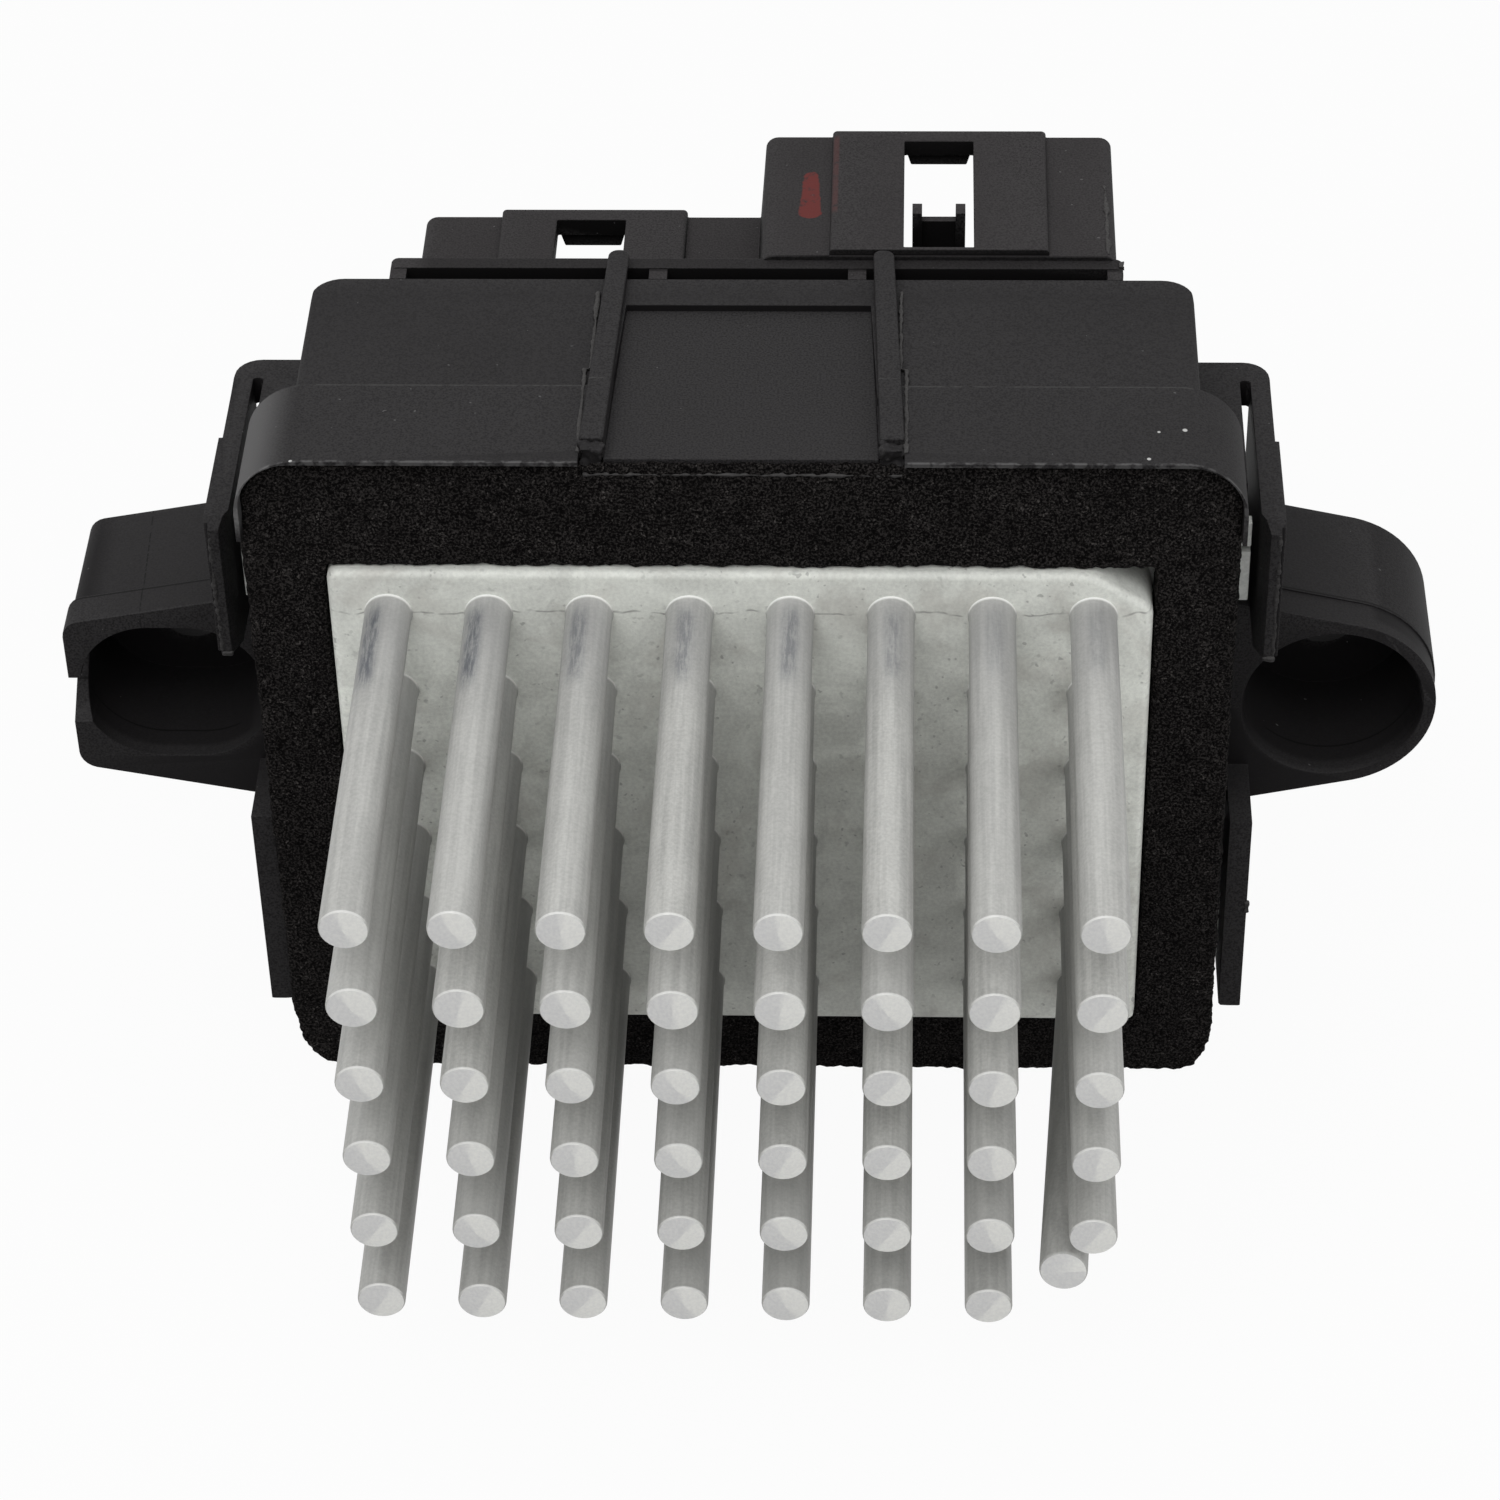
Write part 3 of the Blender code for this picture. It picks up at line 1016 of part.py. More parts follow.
def transistor(name, side, plastic):
    """Flat power package: moulded body, metal tab above it and three leads bent to the board."""
    middle = BOX_X + side * TRANSISTOR_SPREAD
    half = TRANSISTOR_WIDTH / 2
    low = TRANSISTOR_Z - TRANSISTOR_BODY / 2
    high = TRANSISTOR_Z + TRANSISTOR_BODY / 2
    package = block(name, (middle - half, TRANSISTOR_FRONT_Y, low),
                    (middle + half, TRANSISTOR_BACK_Y, high), PART_EDGE)
    tab_half = half - PART_EDGE - APART
    tab = block("tab", (middle - tab_half, TRANSISTOR_FRONT_Y + APART, high - SINK_IN),
                (middle + tab_half, TRANSISTOR_FRONT_Y + TRANSISTOR_TAB_THICKNESS, high + TRANSISTOR_TAB))
    add(package, cut(tab, rod("tab_hole", middle, high + TRANSISTOR_TAB / 2, TAB_HOLE_RADIUS,
                              TRANSISTOR_FRONT_Y - PAST, TRANSISTOR_BACK_Y, sides=16)))
    lead_y = TRANSISTOR_FRONT_Y + TRANSISTOR_THICKNESS / 2
    for x, z in lead_places(side):
        foot = block("lead", (x - LEAD_WIDTH / 2, lead_y, z - LEAD_WIDTH / 2),
                     (x + LEAD_WIDTH / 2, lead_y + LEAD_WIDTH, low + SINK_IN))
        inner = LEAD_WIDTH / 2 - LEAD_TRIM
        add(foot, block("lead_end", (x - inner, lead_y + LEAD_WIDTH / 2, z - inner),
                        (x + inner, BOARD_BACK_Y + LEAD_PAST_BOARD, z + inner)))
        add(package, foot)
    package.data.materials.append(plastic)
    return package


def power_stage():
    """Both transistors with their insulating pads and the spring bar that presses them down."""
    plastic = material("package_plastic", (0.03, 0.03, 0.03), 0.45)
    rubber = material("insulator", (0.55, 0.58, 0.62), 0.80)
    high = TRANSISTOR_Z + TRANSISTOR_BODY / 2 + TRANSISTOR_TAB + INSULATOR_MARGIN
    low = TRANSISTOR_Z - TRANSISTOR_BODY / 2 - INSULATOR_MARGIN
    for index, side in ((1, -1), (2, 1)):
        transistor("power_transistor_%d" % index, side, plastic)
        middle = BOX_X + side * TRANSISTOR_SPREAD
        half = TRANSISTOR_WIDTH / 2 + INSULATOR_MARGIN
        pad = block("insulating_pad_%d" % index, (middle - half, FLANGE_BACK_Y + GAP, low),
                    (middle + half, FLANGE_BACK_Y + GAP + INSULATOR_THICKNESS, high))
        pad.data.materials.append(rubber)
    reach = TRANSISTOR_SPREAD + TRANSISTOR_WIDTH / 2 - CLAMP_OVERHANG
    clamp = block("transistor_clamp", (BOX_X - reach, CLAMP_FRONT_Y, TRANSISTOR_Z - CLAMP_HEIGHT / 2),
                  (BOX_X + reach, CLAMP_BACK_Y, TRANSISTOR_Z + CLAMP_HEIGHT / 2))
    cut(clamp, rod("clamp_hole", BOX_X, TRANSISTOR_Z, SCREW_RADIUS + GAP, CLAMP_FRONT_Y - PAST,
                   CLAMP_BACK_Y + PAST, sides=12))
    clamp.data.materials.append(material("spring_steel", (0.50, 0.51, 0.53), 0.35, 1.0))


def board_parts():
    """Capacitors, shunt and control chip on the board's rear face."""
    base = BOARD_BACK_Y + GAP
    end = CAPACITOR_LENGTH / 2
    groove = CAPACITOR_GROOVE_PLACE - end
    can = [(0.0, end), (CAPACITOR_RADIUS - CAPACITOR_EDGE, end), (CAPACITOR_RADIUS, end - CAPACITOR_EDGE),
           (CAPACITOR_RADIUS, groove + CAPACITOR_GROOVE), (CAPACITOR_RADIUS - CAPACITOR_GROOVE, groove),
           (CAPACITOR_RADIUS, groove - CAPACITOR_GROOVE), (CAPACITOR_RADIUS, CAPACITOR_EDGE - end),
           (CAPACITOR_RADIUS - CAPACITOR_EDGE, -end), (0.0, -end)]
    x, z = CAPACITOR_PLACE
    place = (BOX_X + x, base + CAPACITOR_RADIUS, z)
    capacitor = turned("filter_capacitor", can, 16, place, (0.0, pi / 2, 0.0))
    capacitor.data.materials.append(material("capacitor_sleeve", (0.05, 0.06, 0.12), 0.35))
    for name, size, place, color in (("film_capacitor", FILM_SIZE, FILM_PLACE, (0.45, 0.12, 0.05)),
                                     ("shunt_resistor", SHUNT_SIZE, SHUNT_PLACE, (0.10, 0.10, 0.10))):
        x, z = place
        piece = block(name, (BOX_X + x - size[0] / 2, base, z - size[2] / 2),
                      (BOX_X + x + size[0] / 2, base + size[1], z + size[2] / 2), PART_EDGE)
        piece.data.materials.append(material(name, color, 0.4))
    control_chip(base)


def control_chip(base):
    x, z = CHIP_PLACE
    x += BOX_X
    wide, high, deep = CHIP_SIZE
    chip = block("control_chip", (x - wide / 2, base + APART, z - deep / 2),
                 (x + wide / 2, base + high, z + deep / 2), PART_EDGE)
    for index in range(CHIP_LEGS):
        leg_x = x + (index - (CHIP_LEGS - 1) / 2) * wide / CHIP_LEGS
        add(chip, block("leg", (leg_x - CHIP_LEG_WIDTH / 2, base, z - deep / 2 - CHIP_LEG_REACH),
                        (leg_x + CHIP_LEG_WIDTH / 2, base + CHIP_LEG_HEIGHT, z + deep / 2 + CHIP_LEG_REACH)))
    chip.data.materials.append(material("chip_plastic", (0.025, 0.025, 0.025), 0.4))


clear_scene()
parts = new_collection(OBJECT_NAME)
cutters = new_collection("cutters")
heat_sink()
foam_gasket()
front_housing()
rear_cover()
circuit_board()
power_stage()
board_parts()
terminals()
screws()
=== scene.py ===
"""Looks of the blower motor resistor: cast pin heat sink, foam seal, moulded housing and rear cover.

Lengths in the calls are millimetres in the part's own frame and become metres through MM.
"""

from math import pi, radians

import bmesh
import bpy
from mathutils import Matrix, Vector, noise

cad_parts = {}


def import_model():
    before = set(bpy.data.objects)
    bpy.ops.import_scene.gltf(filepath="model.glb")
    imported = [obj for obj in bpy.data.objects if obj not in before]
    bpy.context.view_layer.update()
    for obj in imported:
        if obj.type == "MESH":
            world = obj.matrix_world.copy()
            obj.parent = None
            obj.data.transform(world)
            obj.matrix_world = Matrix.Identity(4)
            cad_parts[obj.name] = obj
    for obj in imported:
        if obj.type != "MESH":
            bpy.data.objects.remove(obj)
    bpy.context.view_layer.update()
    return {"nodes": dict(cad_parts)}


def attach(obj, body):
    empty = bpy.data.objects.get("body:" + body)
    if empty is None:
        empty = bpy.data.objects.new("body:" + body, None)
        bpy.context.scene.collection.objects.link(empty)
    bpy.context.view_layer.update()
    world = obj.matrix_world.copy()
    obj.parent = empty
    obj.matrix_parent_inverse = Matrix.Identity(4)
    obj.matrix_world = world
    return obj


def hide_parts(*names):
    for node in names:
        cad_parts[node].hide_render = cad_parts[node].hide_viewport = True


MM = 0.001

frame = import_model()

# Pin field
PITCH = 7.5
COLUMNS = 8
ROWS = 6
PIN_RADIUS = 1.75
PIN_LENGTH = 35.1
PIN_SIDES = 36
BENT_PIN = (-2.1, -PIN_LENGTH, 3.7)
FIELD_X = PITCH * (COLUMNS - 1) / 2
FIELD_Z = PITCH * (ROWS - 1) / 2

# Middles of the mouldings, and how far ribs and ears stand from them
BODY_X = 0.2
BOX_X = 0.45
COVER_X = 0.85
RIB_X = 0.35
RIB_SPREAD = 10.95
RIB_TAPER = 0.85
EAR_X = 45.4
EAR_Z = 1.9

# Faces along Y, from the hood's lip to the sockets' mouths
HOOD_FRONT = -0.5
FOAM_FRONT = 0.60
FOAM_BACK = 4.7
ARM_FRONT = 3.0
FLANGE_FRONT = 5.0
FLANGE_BACK = 7.3
SEAT_FRONT = 7.6
SEAT_BACK = 9.1
COLLAR_FRONT = 10.0
COLLAR_BACK = 13.2
EAR_FRONT = 12.8
SUNK_BACK = 19.5
BOX_BACK = 22.9
ARM_BACK = 23.6
PLATE_FRONT = 24.5
PLATE_BACK = 25.8
MOUTH = 42.2

# Heights
BOX_TOP = 33.05
HOOD_TOP = 33.2
BOTTOM = -29.5
SHOULDER = 25.5
ARM_TOP = 24.9
ARM_BOTTOM = -24.9
UPPER_ARM_BOTTOM = 12.2
ROOM_TOP = 31.15
ROOM_BOTTOM = -27.6
SUNK_FLOOR = 32.35
ABOVE_ALL = 36.0

# Sunk field between the ribs, and how much each of its sides draws in at the rear
SUNK_LEFT = -9.7
SUNK_RIGHT = 10.3
SUNK_TAPER = 0.75

# Arm plates, by their near and far faces from the body's middle
ARM_NEAR = 38.4
ARM_FAR = 39.9
LOWER_NEAR = 37.4
LOWER_FAR = 39.15

# Bosses on the flange's back
BOSS_PLACES = [(x, z) for x in (-26.65, 27.55) for z in (-13.6, 17.15)]
CLAMP_Z = 1.0
BOSS_RADIUS = 2.8
BOSS_HOLE_RADIUS = 1.8

# Ears' cups and screw holes, and the corners of what lies under the hood
EAR_FLOOR = 2.6
EAR_HOLE_RADIUS = 2.7
SEAL_CORNER = 3.8

# Rounding of the ears' and arms' edges, under half the ear's step behind its collar
EAR_SOFTNESS = 0.05


# Modelling helpers

MERGE_DISTANCE = 0.000004
SHARP_ANGLE = 32


def only(piece):
    """This piece alone is selected and active."""
    bpy.ops.object.select_all(action="DESELECT")
    piece.select_set(True)
    bpy.context.view_layer.objects.active = piece


def named(name):
    piece = bpy.context.object
    piece.name = piece.data.name = name
    bpy.ops.object.transform_apply(location=True, rotation=True, scale=True)
    return piece


def cuboid(name, low, high):
    """Block between two corners."""
    bpy.ops.object.select_all(action="DESELECT")
    middle = [(a + b) / 2 * MM for a, b in zip(low, high)]
    size = [(b - a) * MM for a, b in zip(low, high)]
    bpy.ops.mesh.primitive_cube_add(size=1.0, location=middle, scale=size)
    return named(name)


def bar(name, x, z, radius, front, back, sides=48):
    """Round bar along Y."""
    bpy.ops.object.select_all(action="DESELECT")
    bpy.ops.mesh.primitive_cylinder_add(vertices=sides, radius=radius * MM, depth=(back - front) * MM,
                                        location=(x * MM, (front + back) / 2 * MM, z * MM),
                                        rotation=(pi / 2, 0.0, 0.0))
    return named(name)


def middle_of(item):
    points = [vert.co for vert in item.verts]
    return sum(points, Vector()) / len(points) / MM


def run_of(edge):
    return (edge.verts[1].co - edge.verts[0].co).normalized()


def pick(piece, kind, test):
    """Opens edit mode with the vertices, edges or faces chosen that pass the test."""
    only(piece)
    bpy.ops.object.mode_set(mode="EDIT")
    bpy.ops.mesh.select_mode(type=kind)
    bpy.ops.mesh.select_all(action="DESELECT")
    shell = bmesh.from_edit_mesh(piece.data)
    chosen = {"VERT": shell.verts, "EDGE": shell.edges, "FACE": shell.faces}[kind]
    for item in chosen:
        if test(item):
            item.select_set(True)
    shell.select_flush_mode()
    bmesh.update_edit_mesh(piece.data)


def done():
    bpy.ops.object.mode_set(mode="OBJECT")


def along(axis, where=None):
    """Test for edges that run along an axis, where their middle passes a test."""
    return lambda edge: abs(run_of(edge)[axis]) > 0.99 and (where is None or where(middle_of(edge)))


def round_edges(piece, test, radius, steps=6):
    pick(piece, "EDGE", test)
    bpy.ops.mesh.bevel(offset=radius * MM, segments=steps, profile=0.5, affect="EDGES")
    done()
    return piece


def slide(piece, test, x=0.0, y=0.0, z=0.0):
    """Moves the vertices that pass the test."""
    pick(piece, "VERT", test)
    bpy.ops.transform.translate(value=(x * MM, y * MM, z * MM))
    done()
    return piece


def draw_in(piece, behind, step):
    """Moves both sides of what lies behind a place towards the middle."""
    slide(piece, lambda vert: vert.co.y > behind * MM and vert.co.x < 0, x=step)
    return slide(piece, lambda vert: vert.co.y > behind * MM and vert.co.x > 0, x=-step)


def slice_off(piece, point, normal):
    """Cuts off what lies on the normal's side of a plane and closes the cut."""
    pick(piece, "VERT", lambda vert: True)
    bpy.ops.mesh.bisect(plane_co=[a * MM for a in point], plane_no=normal, use_fill=True,
                        clear_outer=True, threshold=1e-7)
    done()
    return piece


def combine(piece, other, operation):
    only(piece)
    step = piece.modifiers.new("combine", "BOOLEAN")
    step.operation = operation
    step.solver = "EXACT"
    step.object = other
    bpy.ops.object.modifier_apply(modifier=step.name)
    bpy.data.objects.remove(other, do_unlink=True)
    return piece


def fuse(piece, other):
    return combine(piece, other, "UNION")


def carve(piece, other):
    return combine(piece, other, "DIFFERENCE")


def soften(piece, width=0.2, steps=2, clamp=True):
    """Rounds what sharp edges are left, as a mould or a casting has them, and shades the piece smooth.

    Without the clamp a width holds everywhere, so it stays under half of the narrowest strip.
    """
    only(piece)
    bpy.ops.object.mode_set(mode="EDIT")
    bpy.ops.mesh.select_all(action="SELECT")
    bpy.ops.mesh.remove_doubles(threshold=MERGE_DISTANCE)
    bpy.ops.mesh.dissolve_limited(angle_limit=radians(1))
    bpy.ops.object.mode_set(mode="OBJECT")
    bpy.ops.object.shade_smooth()
    step = piece.modifiers.new("soften", "BEVEL")
    step.limit_method = "ANGLE"
    step.angle_limit = radians(SHARP_ANGLE)
    step.width = width * MM
    step.segments = steps
    step.harden_normals = clamp
    step.miter_outer = "MITER_ARC"
    step.use_clamp_overlap = clamp
    bpy.ops.object.modifier_apply(modifier=step.name)
    if not clamp:
        step = piece.modifiers.new("flat_faces", "WEIGHTED_NORMAL")
        step.weight = 80
        bpy.ops.object.modifier_apply(modifier=step.name)
    return piece


def roughen(piece, cell, layers, shift=0.0):
    """Remeshes a piece in fine cells and moves its surface in and out.

    Each layer of the relief is a lump size and a depth.
    """
    only(piece)
    step = piece.modifiers.new("cells", "REMESH")
    step.mode = "VOXEL"
    step.voxel_size = cell * MM
    step.use_smooth_shade = True
    bpy.ops.object.modifier_apply(modifier=step.name)
    outward = [vert.normal.copy() for vert in piece.data.vertices]
    for vert, normal in zip(piece.data.vertices, outward):
        spot = vert.co / MM + Vector((shift, 0, 0))
        height = sum(noise.noise(spot / lump) * depth for lump, depth in layers)
        vert.co += normal * height * MM
    return piece


def burr(name, low, high, shift=0.0, ragged=1.0):
    """Ragged thread of flash that the mould left on an edge."""
    relief = ((0.5, 0.20 * ragged), (1.7, 0.16 * ragged))
    return roughen(cuboid(name, low, high), 0.10, relief, shift)


def join(name, pieces):
    only(pieces[0])
    for piece in pieces:
        piece.select_set(True)
    bpy.ops.object.join()
    joined = bpy.context.object
    joined.name = joined.data.name = name
    return joined


def finish_piece(piece, finish, replaced=None):
    """Gives a piece its finish and its place on the body."""
    piece.data.materials.clear()
    piece.data.materials.append(finish)
    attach(piece, "root")
    if replaced:
        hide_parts(replaced)
    return piece


# Shader maths

class Level:
    """A value or colour between a finish's nodes. Python's operators on it add Math nodes."""

    def __init__(self, finish, socket):
        self.finish = finish
        self.socket = socket

    def math(self, operation, first, second):
        return self.finish.add("ShaderNodeMath", {"operation": operation}, {0: first, 1: second})

    def apply(self, operation):
        """A Math operation on this value alone."""
        return self.math(operation, self, 0.0)

    def __add__(self, other):
        return self.math("ADD", self, other)

    def __radd__(self, other):
        return self.math("ADD", other, self)

    def __sub__(self, other):
        return self.math("SUBTRACT", self, other)

    def __rsub__(self, other):
        return self.math("SUBTRACT", other, self)

    def __mul__(self, other):
        return self.math("MULTIPLY", self, other)

    def __rmul__(self, other):
        return self.math("MULTIPLY", other, self)

    def __truediv__(self, other):
        return self.math("DIVIDE", self, other)

    def __pow__(self, other):
        return self.math("POWER", self, other)

    def above(self, low, high):
        """0 below low, 1 above high, smooth between."""
        return self.finish.add("ShaderNodeMapRange", {"interpolation_type": "SMOOTHSTEP"},
                               {"Value": self, "From Min": low, "From Max": high})

    def between(self, low, high, soft):
        """1 from low to high, fading to 0 over soft on each side."""
        return self.above(low - soft, low) * (1 - self.above(high, high + soft))

    def within(self, centre, half, soft):
        return self.between(centre - half, centre + half, soft)


class Finish:
    """A procedural material on the part's own coordinates."""

    def __init__(self, name):
        self.material = bpy.data.materials.new(name)
        self.material.use_nodes = True
        self.tree = self.material.node_tree
        self.shader = self.tree.nodes["Principled BSDF"]
        self.place = self.add("ShaderNodeTexCoord", out="Object")

    def add(self, kind, settings=None, values=None, out=0):
        """A node of that kind: its settings come first, then its sockets' values or links."""
        node = self.tree.nodes.new(kind)
        for key, value in (settings or {}).items():
            setattr(node, key, value)
        for key, value in (values or {}).items():
            self.put(node.inputs[key], value)
        return Level(self, node.outputs[out])

    def put(self, socket, value):
        if isinstance(value, Level):
            self.tree.links.new(value.socket, socket)
        else:
            socket.default_value = value

    def set(self, **values):
        """Sets the main shader's sockets; underscores stand for spaces."""
        for key, value in values.items():
            self.put(self.shader.inputs[key.replace("_", " ")], value)
        return self.material

    def stretched(self, x, y, z):
        return self.add("ShaderNodeMapping", None, {"Vector": self.place, "Scale": (x, y, z)})

    def noise(self, size, detail=2.0, rough=0.5, place=None, twist=0.0):
        """Noise with features about size millimetres across."""
        return self.add("ShaderNodeTexNoise", None,
                        {"Vector": place or self.place, "Scale": 1 / (size * MM), "Detail": detail,
                         "Roughness": rough, "Distortion": twist})

    def cells(self, size):
        return self.add("ShaderNodeTexVoronoi", None,
                        {"Vector": self.place, "Scale": 1 / (size * MM)}, out="Distance")

    def axis(self, letter):
        """Place along one axis, in millimetres."""
        return self.add("ShaderNodeSeparateXYZ", None, {0: self.place}, out=letter) * (1 / MM)

    def facing(self, letter):
        """How far the surface looks along an axis."""
        geometry = self.add("ShaderNodeNewGeometry", out="Normal")
        return self.add("ShaderNodeSeparateXYZ", None, {0: geometry}, out=letter)

    def blend(self, share, first, second):
        """Colour between two colours."""
        return self.add("ShaderNodeMix", {"data_type": "RGBA"}, {0: share, 6: first, 7: second}, out=2)

    def bump(self, height, depth, strength=1.0, under=None):
        values = {"Height": height, "Distance": depth * MM, "Strength": strength}
        if under:
            values["Normal"] = under
        return self.add("ShaderNodeBump", None, values)


def grey(value):
    return (value, value, value, 1.0)


METAL_SHARE = 0.12
PAD_DULL = (0.34, 0.35, 0.33, 1)
PAD_DARK = (0.60, 0.61, 0.57, 1)
PAD_LIGHT = (0.86, 0.88, 0.82, 1)
PIN_DARK = (0.35, 0.35, 0.335, 1)
PIN_LIGHT = (0.565, 0.565, 0.54, 1)
PIN_SMEAR = (0.11, 0.12, 0.14, 1)
# Pin ends' shaded and lit greys: painted light and shade on the ends, mixed with grain
PIN_END_SHADED = (0.57, 0.57, 0.57, 1)
PIN_END_LIT = (0.74, 0.74, 0.71, 1)
FOAM_DARK = (0.0014, 0.0012, 0.0012, 1)
FOAM_PALE = (0.034, 0.031, 0.030, 1)
# Painted highlight: pale glints on the foam's cell walls
FOAM_PAINTED_GLINT = (0.13, 0.12, 0.115, 1)

PLASTIC_SHINE = 0.07
HOUSING_DARK = (0.0084, 0.0077, 0.0082, 1)
# Paler tones of upward faces here are painted light, not a real film
HOUSING_PAINTED_TOP_LIGHT = (0.0280, 0.0268, 0.0276, 1)
# Painted highlight on the hood's lip and left corner
HOUSING_PAINTED_HIGHLIGHT = (0.150, 0.148, 0.149, 1)
FLASH_DARK = (0.024, 0.023, 0.023, 1)
# Flash: dark base and painted top light
FLASH_PAINTED_TOP_LIGHT = (0.075, 0.073, 0.072, 1)
COVER_DARK = (0.0050, 0.0046, 0.0048, 1)
# Cover: dark base and painted top light
COVER_PAINTED_TOP_LIGHT = (0.042, 0.039, 0.040, 1)
PAINT_DAB = (0.150, 0.034, 0.031, 1)
PAINT_LINE = (0.100, 0.043, 0.041, 1)

# Seams of the left ear and the pad, and the hood's white specks by X, Y and size
EAR_SEAM_X = -46.6
PAD_SEAM_Z = 18.9
SPECKS = ((32.57, 3.76, 0.22), (-32.37, -0.35, 0.16), (29.84, 0.25, 0.18), (30.67, 3.5, 0.14))


def cast_metal(name, base, dark, light):
    """Die-cast aluminium: cloudy flow marks, fine pitting and a soft shine."""
    finish = Finish(name)
    clouds = finish.noise(6.0, 4.0, 0.62, twist=1.2)
    grain = finish.noise(0.32, 3.0, 0.65)
    pits = finish.noise(0.9, 2.0, 0.5).above(0.64, 0.72)
    tone = clouds.above(0.35, 0.65) * 0.55 + grain.above(0.32, 0.68) * 0.45
    colour = finish.blend(tone, dark, light)
    colour = finish.blend(pits * 0.35, colour, base)
    rough = 0.50 + clouds * 0.16 + grain * 0.10
    height = clouds * 0.6 + grain * 0.40 - pits * 0.3
    return finish, colour, rough, height


def pad_metal():
    """The pad: painted shade makes it a little darker towards its bottom and greys down its upper part,
    with a wavy seam between the two top rows.
    """
    finish, colour, rough, height = cast_metal("cast_aluminium_pad", PAD_DULL, PAD_DARK, PAD_LIGHT)
    z = finish.axis("Z")
    # Painted shade: darker towards the bottom, where the pins shade the pad.
    colour = finish.blend((1 - z.above(-24.0, 4.0)) * 0.12, colour, (0.34, 0.33, 0.32, 1))
    # Painted shade: the upper part is greyed down against the stronger light it gets.
    colour = finish.blend(z.above(10.0, 20.0) * 0.22, colour, (0.47, 0.48, 0.46, 1))
    stains = finish.noise(7.0, 4.0, 0.6, twist=0.5).above(0.50, 0.66)
    colour = finish.blend(stains * 0.28, colour, (0.36, 0.33, 0.30, 1))
    wave = finish.noise(3.0, 2.0, 0.5) * 1.6 - 0.8
    seam = (z + wave).within(PAD_SEAM_Z, 0.02, 0.10) * finish.noise(1.1, 1.0, 0.5).above(0.35, 0.60)
    colour = finish.blend(seam * 0.65, colour, (0.20, 0.20, 0.19, 1))
    flecks = finish.noise(0.55, 1.0, 0.5).above(0.66, 0.73)
    flecks = flecks * finish.noise(4.0, 1.0, 0.5).above(0.42, 0.58)
    colour = finish.blend(flecks * 0.45, colour, (0.16, 0.16, 0.155, 1))
    return finish.set(Base_Color=colour, Roughness=rough, Metallic=METAL_SHARE,
                      Normal=finish.bump(height, 0.12, 0.5))


